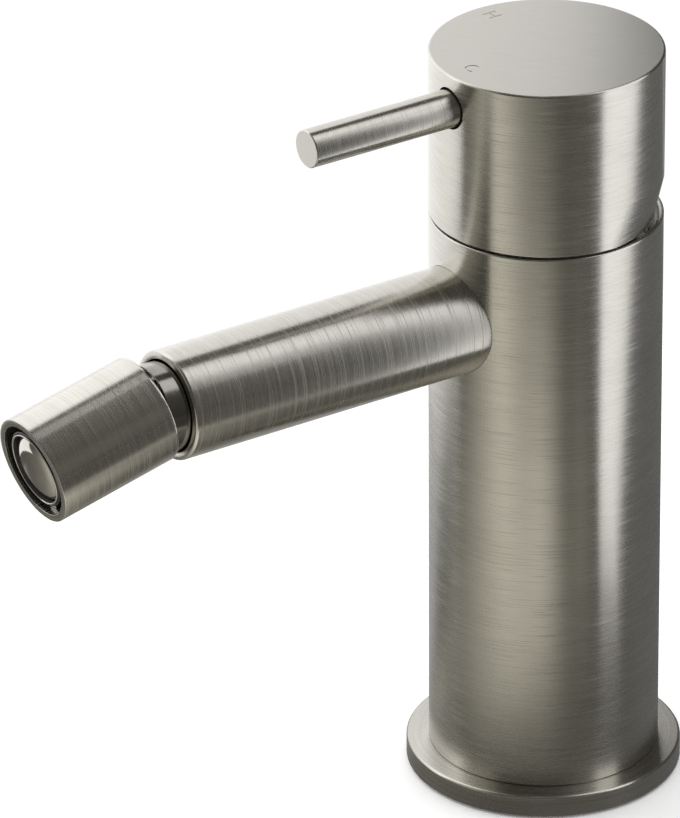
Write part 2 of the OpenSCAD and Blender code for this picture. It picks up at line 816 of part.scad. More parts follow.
module handle_cap() {
  color("silver") difference() {
    lathe([
      [0, cap_z],
      [body_r, cap_z],
      [body_r, cap_top - cap_bevel],
      [body_r - cap_bevel, cap_top],
      [0, cap_top]
    ]);
    rod(cap_bore_r, cap_z - over, hub_z);
    translate([-stem_w / 2 - fit, -stem_w / 2 - fit, hub_z - over])
      cube([stem_w + 2 * fit, stem_w + 2 * fit, stem_top + fit - hub_z + over]);
    on_lever(0) rod(lever_stud_r + fit, 0, body_d);
    on_lever(0) rod(lever_r + lever_ring_gap, lever_seat, body_d);
    rear_relief();
    lift(cap_top - mark_depth) linear_extrude(mark_depth + over) {
      translate([0, cold_mark_edge - body_r]) cold_mark();
      translate([hot_mark_edge - body_r, 0]) hot_mark();
    }
  }
}

// Room behind a leaning drum about as wide as the cap, so that the rear edge dips into the body
module rear_relief() {
  lift(cap_z + relief_rise) difference() {
    rotate([-relief_angle / 2, 0, 0]) translate([-body_d, 0, -body_d]) cube([2 * body_d, body_d, body_d]);
    rotate([-relief_angle, 0, 0]) rod(body_r + relief_ease, -2 * body_d, body_d);
  }
}

module cold_mark() {
  r = mark_h / 2;
  difference() {
    circle(r = r);
    circle(r = r - mark_stroke);
    translate([0, -mark_open / 2]) square([mark_h, mark_open]);
  }
}

module hot_mark() {
  for (side = [-1, 1]) translate([side * (mark_w - mark_stroke) / 2, 0])
    square([mark_stroke, mark_h], center = true);
  square([mark_w, mark_stroke], center = true);
}

module lever_rod() {
  color("silver") on_lever(0) lathe([
    [0, stem_w / 2 + fit],
    [lever_stud_r, stem_w / 2 + fit],
    [lever_stud_r, lever_seat],
    [lever_r, lever_seat],
    [lever_r, lever_l - lever_bevel],
    [lever_r - lever_bevel, lever_l],
    [0, lever_l]
  ]);
}

module ball_liner() {
  color("white") on_spout(ball_l) intersection() {
    difference() {
      sphere(r = liner_r);
      sphere(r = cup_r);
    }
    rod(2 * liner_r, -liner_back, liner_front);
  }
}

module nozzle_shell() {
  color("silver") on_nozzle(0) difference() {
    lathe([
      [skirt_r, -nozzle_back],
      [nozzle_r - nozzle_bevel, -nozzle_back],
      [nozzle_r, nozzle_bevel - nozzle_back],
      [nozzle_r, nozzle_front],
      [outlet_bore_r, nozzle_front],
      [outlet_bore_r, aerator_seat],
      [inner_r, aerator_seat],
      [inner_r, retainer_start],
      [ball_r - over, retainer_start],
      [ball_r - over, -lip_back],
      [lip_r, -lip_back],
      [lip_r + lip_slope, -skirt_floor],
      [skirt_r, -skirt_floor]
    ]);
    sphere(r = seat_r);
  }
}

module ball_retainer() {
  front = retainer_start + retainer_l;
  color("goldenrod") on_nozzle(0) difference() {
    rod(inner_r - fit, retainer_start, front);
    rod(retainer_bore_d / 2, retainer_start, front + over);
    rod(ball_seal_d / 2 + fit, ball_seal_start - over, ball_seal_start + ball_seal_t);
    sphere(r = seat_r);
  }
}

module ball_seal() {
  color("dimgray") on_nozzle(0) difference() {
    rod(ball_seal_d / 2, ball_seal_start, ball_seal_start + ball_seal_t);
    sphere(r = cup_r);
  }
}

module aerator_washer() {
  color("dimgray") on_nozzle(aerator_seat)
    tube(outlet_bore_r - fit, aer_washer_bore_d / 2, 0, aer_washer_t);
}

module aerator_screen() {
  color("gainsboro") on_nozzle(aer_rear) difference() {
    rod(aer_pocket_d / 2 - fit, 0, screen_t);
    rod(screen_hole_d / 2, -over, screen_t + over);
    for (ring = [1, 2]) for (i = [1 : 6 * ring]) rotate(i * 60 / ring) translate([ring * screen_pitch, 0, 0])
      rod(screen_hole_d / 2, -over, screen_t + over);
  }
}

module flow_regulator() {
  low = aer_rear + screen_t;
  color("seagreen") on_nozzle(0) difference() {
    rod(aer_pocket_d / 2 - fit, low, aer_throat);
    ring_holes(low);
    rod(regulator_hole_d / 2, low - over, aer_throat + over);
  }
}

// Ring of water holes, through the regulator or the dome's foot
module ring_holes(z) {
  for (i = [1 : regulator_holes]) rotate(i * 360 / regulator_holes) translate([regulator_ring_d / 2, 0, 0])
    rod(regulator_hole_d / 2, z - over, z + 2 * aer_pocket_depth);
}

module aerator_housing() {
  color("black") on_nozzle(0) difference() {
    union() {
      rod(outlet_bore_r - fit, aer_rear, aer_shoulder);
      rod(aer_tube_d / 2, aer_rear, aer_front);
      intersection() {
        rod(outlet_bore_r - fit, aer_shoulder - over, aer_shoulder + lug_l);
        rotate(lug_turn) translate([-outlet_bore_r, -lug_w / 2, aer_rear])
          cube([2 * outlet_bore_r, lug_w, nozzle_front]);
      }
    }
    rod(aer_pocket_d / 2, aer_rear - over, aer_throat);
    rod(aer_throat_d / 2, aer_rear, aer_chamber + over);
    rod(aer_chamber_d / 2, aer_chamber, nozzle_front);
    rod(aer_ring_d / 2 + fit, aer_ring_seat, nozzle_front);
  }
}

module aerator_dome() {
  color("gainsboro") on_nozzle(0) union() {
    intersection() {
      lift(dome_top - dome_sphere_r) sphere(r = dome_sphere_r);
      rod(dome_d / 2, dome_top - dome_rise - dome_edge, dome_top + over);
    }
    rod(dome_stem_d / 2, aer_chamber, dome_top - dome_rise);
    difference() {
      rod(aer_chamber_d / 2 - fit, aer_chamber, aer_chamber + dome_foot_t);
      ring_holes(aer_chamber);
    }
  }
}

module aerator_ring() {
  color("gainsboro") on_nozzle(0)
    tube(aer_ring_d / 2, aer_ring_d / 2 - aer_ring_wall, aer_ring_seat, aer_ring_front);
}

body_shell();
base_flange();
base_seal();
base_insert();
hot_feed_pipe();
cold_feed_pipe();
feed_seals();
valve_manifold();
cartridge_base();
port_seals();
fixed_disc();
cartridge_housing();
cartridge_nut();
spout_tube();
spout_seal();
spout_bush();
ball_stem();
swivel_neck();
neck_washer();
stem_carrier();
stem_pin();
disc_carrier();
moving_disc();
cartridge_stem();
handle_cap();
lever_rod();
ball_liner();
nozzle_shell();
ball_retainer();
ball_seal();
aerator_washer();
aerator_screen();
flow_regulator();
aerator_housing();
aerator_dome();
aerator_ring();
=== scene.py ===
# %% [markdown]
# # A bidet mixer in brushed steel
# The packed CAD model is the fixed frame of this scene. Every outer piece that the eye can reach is
# modelled again here with Blender's own tools, with smooth round walls and softened edges, and takes
# the place of its CAD node. The inner pieces stay as they are and only get a finish.

# %% Load the frame
import json
import math

import bmesh
import bpy
from mathutils import Matrix, Vector


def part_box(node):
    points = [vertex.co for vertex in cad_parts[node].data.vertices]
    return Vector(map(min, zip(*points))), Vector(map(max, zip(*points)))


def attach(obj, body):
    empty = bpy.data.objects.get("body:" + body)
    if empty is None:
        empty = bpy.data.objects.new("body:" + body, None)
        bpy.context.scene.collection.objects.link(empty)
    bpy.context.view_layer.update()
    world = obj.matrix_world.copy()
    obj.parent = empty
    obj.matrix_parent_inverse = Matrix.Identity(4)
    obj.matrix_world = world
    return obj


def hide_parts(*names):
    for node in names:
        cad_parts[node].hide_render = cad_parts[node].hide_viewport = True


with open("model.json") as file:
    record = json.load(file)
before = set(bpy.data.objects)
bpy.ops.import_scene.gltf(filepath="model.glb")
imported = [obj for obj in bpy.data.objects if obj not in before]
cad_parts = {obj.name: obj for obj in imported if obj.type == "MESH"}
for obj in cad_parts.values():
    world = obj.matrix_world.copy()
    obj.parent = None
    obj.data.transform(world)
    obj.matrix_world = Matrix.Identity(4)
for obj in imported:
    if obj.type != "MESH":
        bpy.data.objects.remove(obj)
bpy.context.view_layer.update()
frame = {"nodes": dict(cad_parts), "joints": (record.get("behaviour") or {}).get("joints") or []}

MM = 0.001

# %% [markdown]
# ## The camera
# The photograph was taken through a long lens from above and to the right of the spout. A long lens
# keeps upright walls nearly parallel. The camera stands at the place that makes the body, the spout
# and the flange fall on the same pixels as in the photograph. The long side of a frame of 680 by 818
# pixels is the one that the sensor's width covers.

# %% Camera
CAMERA_PLACE = Vector((1252.3, -878.5, 848.9)) * MM
CAMERA_HEADING = math.radians(56.465)
CAMERA_PITCH = math.radians(26.782)
CAMERA_ROLL = math.radians(-0.377)
SENSOR = 36
LENS = 382.02

bpy.ops.object.camera_add(location=CAMERA_PLACE)
camera = bpy.context.object
camera.name = "photo_camera"
camera.rotation_euler = (
    Matrix.Rotation(CAMERA_HEADING, 3, "Z")
    @ Matrix.Rotation(math.pi / 2 - CAMERA_PITCH, 3, "X")
    @ Matrix.Rotation(CAMERA_ROLL, 3, "Z")
).to_euler()
camera.data.sensor_width = SENSOR
camera.data.lens = LENS
bpy.context.scene.camera = camera
print("camera stands", round(CAMERA_PLACE.length, 3), "m from the foot of the body")

# %% [markdown]
# ## Sizes from the frame
# A piece that replaces a CAD node has to sit exactly where the node sits. Outer sizes are therefore
# read from the boxes of the nodes. Only what a box can't tell, such as a wall or a round edge, is
# written down as a size of its own, in millimetres.

# %% Read the boxes
def size_box(node):
    """The low and the high corner of a node's box, in millimetres."""
    low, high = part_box(node)
    return low / MM, high / MM


body_high = size_box("body_shell")[1]
flange_high = size_box("base_flange")[1]
cap_high = size_box("handle_cap")[1]
spout_low, spout_high = size_box("spout_tube")
lever_low, lever_high = size_box("lever_rod")
neck_low, neck_high = size_box("swivel_neck")
pivots = {joint["name"]: joint for joint in frame["joints"]}
ball = Vector(pivots["nozzle_swing"]["pos_m"]) / MM

body_r = body_high.x
body_top = body_high.z
flange_r = flange_high.x
flange_t = flange_high.z
spout_r = spout_high.x
spout_end = -spout_low.y
spout_z = ball.z
cap_top = cap_high.z
lever_r = lever_high.x
lever_z = (lever_low.z + lever_high.z) / 2
lever_end = -lever_low.y
neck_r = neck_high.x
nozzle_r = spout_r
print("body", body_r, "by", body_top, "flange", flange_r, "by", flange_t)
print("spout", spout_r, "reaches", spout_end, "lever", lever_r, "reaches", lever_end)
print("ball", ball, "neck", neck_r)

# %% [markdown]
# ## The base flange
# The flange is a flat ring that the body stands on. A groove on its underside holds the deck seal. Like
# nearly all of this mixer it comes off a lathe. A lathe shape can be made in Blender from one circle:
# extrude the ring, move it along the axis, scale it to the next radius, and go on along the outline. The
# Spin tool could turn an outline too, but this way shows every step and leaves clean rings of faces.

# %% Turn the flange
SIDES = 192
MERGE = 0.001
SPIGOT_R = 21.55
GROOVE_INNER_R = 23.25
GROOVE_OUTER_R = 25.75
GROOVE_DEPTH = 1.6


def clear_selection():
    if bpy.context.object and bpy.context.object.mode != "OBJECT":
        bpy.ops.object.mode_set(mode="OBJECT")
    bpy.ops.object.select_all(action="DESELECT")


def turned(name, outline):
    """Extrude one circle along an outline of (radius, height) points in millimetres."""
    clear_selection()
    radius, height = outline[0]
    bpy.ops.mesh.primitive_circle_add(vertices=SIDES, radius=radius * MM, location=(0, 0, height * MM))
    piece = bpy.context.object
    piece.name = piece.data.name = name
    bpy.ops.object.transform_apply(location=True)
    bpy.ops.object.mode_set(mode="EDIT")
    bpy.ops.mesh.select_all(action="SELECT")
    for next_radius, next_height in outline[1:]:
        step = (0, 0, (next_height - height) * MM)
        bpy.ops.mesh.extrude_region_move(TRANSFORM_OT_translate={"value": step})
        share = next_radius / radius
        bpy.ops.transform.resize(value=(share, share, 1), center_override=(0, 0, 0))
        radius, height = next_radius, next_height
    bpy.ops.mesh.select_all(action="SELECT")
    bpy.ops.mesh.remove_doubles(threshold=MERGE * MM)
    bpy.ops.mesh.fill_holes(sides=0)
    bpy.ops.mesh.select_all(action="SELECT")
    bpy.ops.mesh.normals_make_consistent(inside=False)
    bpy.ops.object.mode_set(mode="OBJECT")
    return piece


flange = turned("flange_ring", [
    (SPIGOT_R, 0),
    (GROOVE_INNER_R, 0),
    (GROOVE_INNER_R, GROOVE_DEPTH),
    (GROOVE_OUTER_R, GROOVE_DEPTH),
    (GROOVE_OUTER_R, 0),
    (flange_r, 0),
    (flange_r, flange_t),
    (SPIGOT_R, flange_t),
    (SPIGOT_R, 0),
])
print("the turned flange has", len(flange.data.vertices), "corners")

# %% [markdown]
# ### Rounded edges
# The upper edge of the flange is softly rounded and shows as one bright line. An edge ring of a turned
# piece can be picked by its radius and its height, and a bevel rounds it. A round that shows gets more
# steps than one that is nearly hidden.

# %% Round the flange's edges
NEAR = 0.01
ROUND_STEPS = 4
SMALL_STEPS = 2
FLANGE_ROUND = 0.55
FLANGE_FOOT_ROUND = 0.2


def pick(piece):
    clear_selection()
    piece.select_set(True)
    bpy.context.view_layer.objects.active = piece


def round_ring(piece, radius, height, size, steps=ROUND_STEPS):
    """Bevel the edge ring at one place of a turned piece that still stands on the Z axis."""
    pick(piece)
    bpy.ops.object.mode_set(mode="EDIT")
    bpy.ops.mesh.select_mode(type="EDGE")
    bpy.ops.mesh.select_all(action="DESELECT")
    mesh = bmesh.from_edit_mesh(piece.data)
    near = NEAR * MM

    def on_ring(corner):
        off = math.hypot(corner.co.x, corner.co.y) - radius * MM
        return abs(off) < near and abs(corner.co.z - height * MM) < near

    for edge in mesh.edges:
        edge.select_set(all(on_ring(corner) for corner in edge.verts))
    bmesh.update_edit_mesh(piece.data)
    bpy.ops.mesh.bevel(offset=size * MM, segments=steps, affect="EDGES")
    bpy.ops.object.mode_set(mode="OBJECT")


round_ring(flange, flange_r, flange_t, FLANGE_ROUND)
round_ring(flange, flange_r, 0, FLANGE_FOOT_ROUND, SMALL_STEPS)
print("the rounded flange has", len(flange.data.vertices), "corners")

# %% [markdown]
# ### The last step of every piece
# Faces that meet at a small angle are shaded smooth, so that a wall of many sides looks round. Weighted
# normals keep the flat faces flat beside their rounded edges. Then the piece is hung on the body that
# carries it, and the CAD node that it stands for is hidden.

# %% Finish the flange
SMOOTH = math.radians(32)


def finish_shape(piece, body, node):
    """Smooth the round walls, keep the flat faces flat, and put the piece in its node's place."""
    pick(piece)
    bpy.ops.object.shade_smooth_by_angle(angle=SMOOTH)
    flat = piece.modifiers.new("flat_faces", "WEIGHTED_NORMAL")
    flat.keep_sharp = True
    bpy.ops.object.modifier_apply(modifier=flat.name)
    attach(piece, body)
    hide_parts(node)
    print(piece.name, len(piece.data.polygons), "faces")


finish_shape(flange, "body", "base_flange")

# %% [markdown]
# ## The body
# The upright body is a tube that stands in the flange. Its rim is thinner than its wall, because the
# back of the handle dips into the mouth when the lever is lifted. One turned outline makes the foot, the
# wall and the stepped mouth together.

# %% Turn the body
BORE_R = 20
BODY_FOOT_R = 21.5
RIM_WALL = 1.2
MOUTH_DEPTH = 3
EDGE_ROUND = 0.3
MOUTH_ROUND = 0.5

mouth_r = body_r - RIM_WALL
mouth_floor = body_top - MOUTH_DEPTH
body = turned("body_tube", [
    (BORE_R, 0),
    (BODY_FOOT_R, 0),
    (BODY_FOOT_R, flange_t),
    (body_r, flange_t),
    (body_r, body_top),
    (mouth_r, body_top),
    (mouth_r, mouth_floor),
    (BORE_R, mouth_floor),
    (BORE_R, 0),
])
round_ring(body, body_r, flange_t, EDGE_ROUND)
round_ring(body, body_r, body_top, EDGE_ROUND)
round_ring(body, mouth_r, body_top, MOUTH_ROUND)
print("the turned body has", len(body.data.polygons), "faces")

# %% [markdown]
# ### The spout's hole
# The spout goes through a round hole in the wall. As in a workshop, a drill is laid along the spout's
# axis, and a Boolean modifier takes its shape out of the wall. The drill is turned upright, then laid
# down and moved, and its place goes into its mesh, so that its origin stays at the frame's origin.

# %% Drill the body
LYING = 90
HOLE_GAP = 0.05
HOLE_START = 12
HOLE_END = 30


def place(piece, location=(0, 0, 0), lean=0):
    """Lay a piece down about the X axis, move it, and keep the place in its mesh."""
    pick(piece)
    piece.location = Vector(location) * MM
    piece.rotation_euler = (math.radians(lean), 0, 0)
    bpy.ops.object.transform_apply(location=True, rotation=True, scale=True)


def cut(piece, cutter):
    """Take the cutter's shape out of a piece and throw the cutter away."""
    pick(piece)
    tool = piece.modifiers.new("cut", "BOOLEAN")
    tool.operation = "DIFFERENCE"
    tool.solver = "EXACT"
    tool.object = cutter
    bpy.ops.object.modifier_apply(modifier=tool.name)
    bpy.data.objects.remove(cutter)


hole_r = spout_r + HOLE_GAP
hole = turned("spout_hole", [(hole_r, HOLE_START), (hole_r, HOLE_END)])
place(hole, (0, 0, spout_z), LYING)
cut(body, hole)
finish_shape(body, "body", "body_shell")

# %% [markdown]
# ## The spout
# The spout is a thick tube with a broad round on its outer end. Its wide mouth leaves a dark ring
# round the neck of the swivel. It is turned upright first and then laid down along the spout's axis.

# %% Spout
SPOUT_SEAT = 19
SPIGOT_TIP = 15
SPOUT_SPIGOT_R = 7.5
WATERWAY_R = 5
SPOUT_MOUTH_R = 9.3
SPOUT_MOUTH_FLOOR = 72
SPOUT_ROUND = 0.6
SPOUT_STEPS = 6
SPOUT_MOUTH_ROUND = 0.15

spout = turned("spout_arm", [
    (WATERWAY_R, SPIGOT_TIP),
    (SPOUT_SPIGOT_R, SPIGOT_TIP),
    (SPOUT_SPIGOT_R, SPOUT_SEAT),
    (spout_r, SPOUT_SEAT),
    (spout_r, spout_end),
    (SPOUT_MOUTH_R, spout_end),
    (SPOUT_MOUTH_R, SPOUT_MOUTH_FLOOR),
    (WATERWAY_R, SPOUT_MOUTH_FLOOR),
    (WATERWAY_R, SPIGOT_TIP),
])
round_ring(spout, spout_r, spout_end, SPOUT_ROUND, SPOUT_STEPS)
round_ring(spout, SPOUT_MOUTH_R, spout_end, SPOUT_MOUTH_ROUND, SMALL_STEPS)
place(spout, (0, 0, spout_z), LYING)
finish_shape(spout, "body", "spout_tube")

# %% [markdown]
# ## The swivel neck
# A short polished sleeve fills the gap between the spout and the nozzle. Its front is dished, so that
# the nozzle's lip has room when the nozzle is tilted. Heights are counted from the ball's centre, and
# the finished sleeve is moved there.

# %% Swivel neck
SHANK_R = 4.25
DISH_DEPTH = 1
DISH_RIM = 0.35
DISH_EDGE = 1.75
FLARE_R = 5.1
FLARE_DEPTH = 0.8

neck_rear = ball.y - neck_high.y
neck_front = ball.y - neck_low.y
neck_floor = neck_front - DISH_DEPTH
neck = turned("swivel_sleeve", [
    (SHANK_R, neck_rear),
    (neck_r, neck_rear),
    (neck_r, neck_front),
    (neck_r - DISH_RIM, neck_front),
    (neck_r - DISH_EDGE, neck_floor),
    (FLARE_R, neck_floor),
    (SHANK_R, neck_floor - FLARE_DEPTH),
    (SHANK_R, neck_rear),
])
place(neck, ball, LYING)
finish_shape(neck, "body", "swivel_neck")

# %% [markdown]
# ## The nozzle
# The nozzle is a plain tube that hangs from the ball. A thin skirt reaches back over the neck, and the
# aerator sits a little inside the outlet. The seat of the ball follows a circle about the ball's centre,
# so its points come from the formula of that circle.

# %% Nozzle
NOZZLE_DROOP = 13.3
NOZZLE_BACK = -3.5
NOZZLE_FRONT = 22.9
SKIRT_WALL = 0.45
SKIRT_FLOOR = -0.7
OUTLET_R = 9.4
AERATOR_SEAT = 9
INNER_R = 8.8
BALL_SEAT_R = 8.07
SEAT_FRONT = 0.5
SEAT_MIDDLE = -0.9
LIP_BACK = -1.8
LIP_WALL = 0.48
LIP_SLOPE = 0.9
REAR_EDGE_IN = 0.25
REAR_EDGE_LONG = 0.55
NOZZLE_ROUND = 0.12
OUTLET_ROUND = 0.1


def seat_at(height):
    """The radius of the ball's seat at a height from the ball's centre."""
    return math.sqrt(BALL_SEAT_R ** 2 - height ** 2)


nozzle_lean = LYING + NOZZLE_DROOP
skirt_r = nozzle_r - SKIRT_WALL
lip_r = seat_at(LIP_BACK) + LIP_WALL
nozzle = turned("nozzle_tube", [
    (skirt_r, NOZZLE_BACK),
    (nozzle_r - REAR_EDGE_IN, NOZZLE_BACK),
    (nozzle_r, NOZZLE_BACK + REAR_EDGE_LONG),
    (nozzle_r, NOZZLE_FRONT),
    (OUTLET_R, NOZZLE_FRONT),
    (OUTLET_R, AERATOR_SEAT),
    (INNER_R, AERATOR_SEAT),
    (INNER_R, SEAT_FRONT),
    (seat_at(SEAT_FRONT), SEAT_FRONT),
    (seat_at(0), 0),
    (seat_at(SEAT_MIDDLE), SEAT_MIDDLE),
    (seat_at(LIP_BACK), LIP_BACK),
    (lip_r, LIP_BACK),
    (lip_r + LIP_SLOPE, SKIRT_FLOOR),
    (skirt_r, SKIRT_FLOOR),
    (skirt_r, NOZZLE_BACK),
])
round_ring(nozzle, nozzle_r, NOZZLE_FRONT, NOZZLE_ROUND)
round_ring(nozzle, OUTLET_R, NOZZLE_FRONT, OUTLET_ROUND, SMALL_STEPS)
place(nozzle, ball, nozzle_lean)
finish_shape(nozzle, "nozzle", "nozzle_shell")

# %% [markdown]
# ## The aerator's housing
# Three things show inside the outlet: a black housing, a thin bright ring, and a polished dome in the
# middle. The housing is turned first. It is wide at the rear, where it fills the nozzle, and slim at the
# front, which leaves a dark gap round it.

# %% Turn the housing
AERATOR_REAR = 10.2
AERATOR_SHOULDER = 17.5
AERATOR_FRONT = 22.2
AERATOR_TUBE_R = 7.95
HOUSING_FIT = 0.05
HOUSING_ROUND = 0.12
REAR_BORE_R = 8
REAR_BORE_END = 13.8
OUTLET_BORE_R = 5.6
CHAMBER_R = 6.55
CHAMBER_FLOOR = 15.2
RING_BACK = 19
RING_SEAT_R = 7.55

housing_r = OUTLET_R - HOUSING_FIT
housing = turned("aerator_cage", [
    (OUTLET_BORE_R, CHAMBER_FLOOR),
    (OUTLET_BORE_R, REAR_BORE_END),
    (REAR_BORE_R, REAR_BORE_END),
    (REAR_BORE_R, AERATOR_REAR),
    (housing_r, AERATOR_REAR),
    (housing_r, AERATOR_SHOULDER),
    (AERATOR_TUBE_R, AERATOR_SHOULDER),
    (AERATOR_TUBE_R, AERATOR_FRONT),
    (RING_SEAT_R, AERATOR_FRONT),
    (RING_SEAT_R, RING_BACK),
    (CHAMBER_R, RING_BACK),
    (CHAMBER_R, CHAMBER_FLOOR),
    (OUTLET_BORE_R, CHAMBER_FLOOR),
])
round_ring(housing, AERATOR_TUBE_R, AERATOR_FRONT, HOUSING_ROUND, SMALL_STEPS)
print("the turned housing has", len(housing.data.polygons), "faces")

# %% [markdown]
# ### The key lugs
# Two lugs for a key bridge the dark gap round the housing. A lug is a cube at its size and place, with
# its edges softened by a Bevel modifier, and is joined to the housing. The faces of the lugs are noted
# while they still stand upright, because they get a finish of their own later.

# %% Key lugs
LUG_TURN = 95
LUG_OVERLAP = 0.4
LUG_WIDTH = 2.4
LUG_HEIGHT = 3.6
LUG_ROUND = 0.2
LUG_STEPS = 3
LUG_MARGIN = 0.05


def block(size, centre):
    """A cube with its size and place in its mesh, in millimetres."""
    clear_selection()
    bpy.ops.mesh.primitive_cube_add(size=1)
    cube = bpy.context.object
    cube.scale = Vector(size) * MM
    cube.location = Vector(centre) * MM
    bpy.ops.object.transform_apply(location=True, scale=True)
    return cube


def key_lug(side):
    """One lug, rounded, that reaches across the gap on one side of the housing."""
    lug_inner = AERATOR_TUBE_R - LUG_OVERLAP
    middle = ((housing_r + lug_inner) / 2 * side, 0, AERATOR_SHOULDER + LUG_HEIGHT / 2)
    lug = block((housing_r - lug_inner, LUG_WIDTH, LUG_HEIGHT), middle)
    lug.rotation_euler.z = math.radians(LUG_TURN)
    bpy.ops.object.transform_apply(rotation=True)
    soft = lug.modifiers.new("soft_edges", "BEVEL")
    soft.width = LUG_ROUND * MM
    soft.segments = LUG_STEPS
    bpy.ops.object.modifier_apply(modifier=soft.name)
    return lug


def off_axis(face):
    """How far the middle of a face lies from the Z axis, in millimetres."""
    return math.hypot(face.center.x, face.center.y) / MM


lugs = [key_lug(side) for side in (-1, 1)]
pick(housing)
for lug in lugs:
    lug.select_set(True)
bpy.ops.object.join()
lug_faces = [face.index for face in housing.data.polygons
             if face.center.z > (AERATOR_SHOULDER + LUG_MARGIN) * MM
             and off_axis(face) > AERATOR_TUBE_R + LUG_MARGIN]
place(housing, ball, nozzle_lean)
finish_shape(housing, "nozzle", "aerator_housing")

# %% [markdown]
# ## The aerator's ring
# A thin ring with a rounded front sits in the housing. Only its front edge is bright in the photograph.
# The wall inside it lies in the dark, so its faces are noted for painted shade in black.

# %% Aerator ring
RING_R = 7.5
RING_WALL = 0.4
RING_FRONT = 22.6
RING_ROUND = 0.15
BORE_MARGIN = 0.02

ring_bore_r = RING_R - RING_WALL
ring = turned("outlet_ring", [
    (ring_bore_r, RING_BACK),
    (RING_R, RING_BACK),
    (RING_R, RING_FRONT),
    (ring_bore_r, RING_FRONT),
    (ring_bore_r, RING_BACK),
])
round_ring(ring, RING_R, RING_FRONT, RING_ROUND)
round_ring(ring, ring_bore_r, RING_FRONT, RING_ROUND)
# Painted shade: the faces of the ring's bore are noted for black.
bore_faces_in_painted_shade = [face.index for face in ring.data.polygons if off_axis(face) < ring_bore_r + BORE_MARGIN]
place(ring, ball, nozzle_lean)
finish_shape(ring, "nozzle", "aerator_ring")

# %% [markdown]
# ## The aerator's dome
# The dome on its stem has a flat crown and a rounder shoulder, like a button. Both are arcs that meet
# without a kink, because they share one slope where they join. A plain cap of a sphere would spread
# the light over the whole dome, where the photograph shows a bright crescent at its edge.

# %% Aerator dome
DOME_R = 6.95
DOME_TOP = 23.0
DOME_EDGE = 0.5
DOME_STEM_R = 2.2
DOME_STEM_FOOT = 17
CROWN_R = 30
CROWN_SPAN = math.radians(8)
CROWN_STEPS = 6
SHOULDER_SPAN = math.radians(42)
SHOULDER_STEPS = 9

crown_edge = CROWN_R * math.sin(CROWN_SPAN)
crown_drop = CROWN_R * (1 - math.cos(CROWN_SPAN))
shoulder_r = (DOME_R - crown_edge) / (math.sin(SHOULDER_SPAN) - math.sin(CROWN_SPAN))


def shoulder_point(step):
    angle = SHOULDER_SPAN + (CROWN_SPAN - SHOULDER_SPAN) * step / SHOULDER_STEPS
    out = crown_edge + shoulder_r * (math.sin(angle) - math.sin(CROWN_SPAN))
    down = crown_drop + shoulder_r * (math.cos(CROWN_SPAN) - math.cos(angle))
    return out, DOME_TOP - down


def crown_point(step):
    angle = CROWN_SPAN * (1 - step / CROWN_STEPS)
    return CROWN_R * math.sin(angle), DOME_TOP - CROWN_R * (1 - math.cos(angle))


dome_under = shoulder_point(0)[1] - DOME_EDGE
dome = turned("outlet_dome", [
    (DOME_STEM_R, DOME_STEM_FOOT),
    (DOME_STEM_R, dome_under),
    (DOME_R, dome_under),
    *[shoulder_point(step) for step in range(SHOULDER_STEPS)],
    *[crown_point(step) for step in range(CROWN_STEPS)],
])
place(dome, ball, nozzle_lean)
finish_shape(dome, "nozzle", "aerator_dome")

# %% [markdown]
# ## The handle cap
# The cap is a heavy cup that stands a hair above the body. The lever screws into a sunk seat in its
# wall. The cup is turned first, and then the seat and the stud's hole are cut out of it.

# %% Handle cap
CAP_GAP = 0.6
CAP_BORE_R = 20
CAP_CEILING = 141
CAP_ROUND = 0.45
CAP_FOOT_ROUND = 0.15
LEVER_SEAT = 15
LEVER_GAP = 0.45
LEVER_SEAT_END = 30
STUD_R = 3
STUD_GAP = 0.05
STUD_HOLE_START = 4
STUD_HOLE_END = 16

cap_bottom = body_top + CAP_GAP
cap = turned("handle_cup", [
    (CAP_BORE_R, CAP_CEILING),
    (CAP_BORE_R, cap_bottom),
    (body_r, cap_bottom),
    (body_r, cap_top),
])
round_ring(cap, body_r, cap_top, CAP_ROUND)
round_ring(cap, body_r, cap_bottom, CAP_FOOT_ROUND, SMALL_STEPS)

for name, radius, start, end in (
    ("lever_seat", lever_r + LEVER_GAP, LEVER_SEAT, LEVER_SEAT_END),
    ("stud_hole", STUD_R + STUD_GAP, STUD_HOLE_START, STUD_HOLE_END),
):
    drill = turned(name, [(radius, start), (radius, end)])
    place(drill, (0, 0, lever_z), LYING)
    cut(cap, drill)
print("the drilled cap has", len(cap.data.polygons), "faces")

# %% [markdown]
# ### The relief at the cap's rear
# The lower edge of the cap is cut away at the rear, so that the handle can tip back into the body's
# mouth. The cutter is a block less a leaning drum, so what stays of the cap there is a piece of a
# leaning cylinder, which slides into the mouth as the handle is lifted.

# %% Relief at the cap's rear
RELIEF_LEAN = 17
RELIEF_RISE = 10.6
RELIEF_EASE = 0.1
DRUM_FOOT = -90
DRUM_TOP = 46

relief_size = Vector((4, 2, 2)) * body_r
relief_middle = Vector((0, 1, -1)) * body_r
relief = block(relief_size, relief_middle)
place(relief, lean=-RELIEF_LEAN / 2)
drum_r = body_r + RELIEF_EASE
drum = turned("relief_drum", [(drum_r, DRUM_FOOT), (drum_r, DRUM_TOP)])
place(drum, lean=-RELIEF_LEAN)
cut(relief, drum)
place(relief, (0, 0, cap_bottom + RELIEF_RISE))
cut(cap, relief)
print("the relieved cap has", len(cap.data.polygons), "faces")

# %% [markdown]
# ### The hot and cold marks
# The marks are fine grooves. A bar for each stroke and a ring with an opening are sunk into the top.
# They could be painted on, but a true groove holds its own shadow from any side.

# %% Hot and cold marks
MARK_H = 3
MARK_W = 2.4
MARK_STROKE = 0.3
MARK_DEPTH = 0.12
MARK_OPEN = 1.6
COLD_INSET = 5.6
HOT_INSET = 4.4

hot_x = HOT_INSET - body_r
cold_y = COLD_INSET - body_r


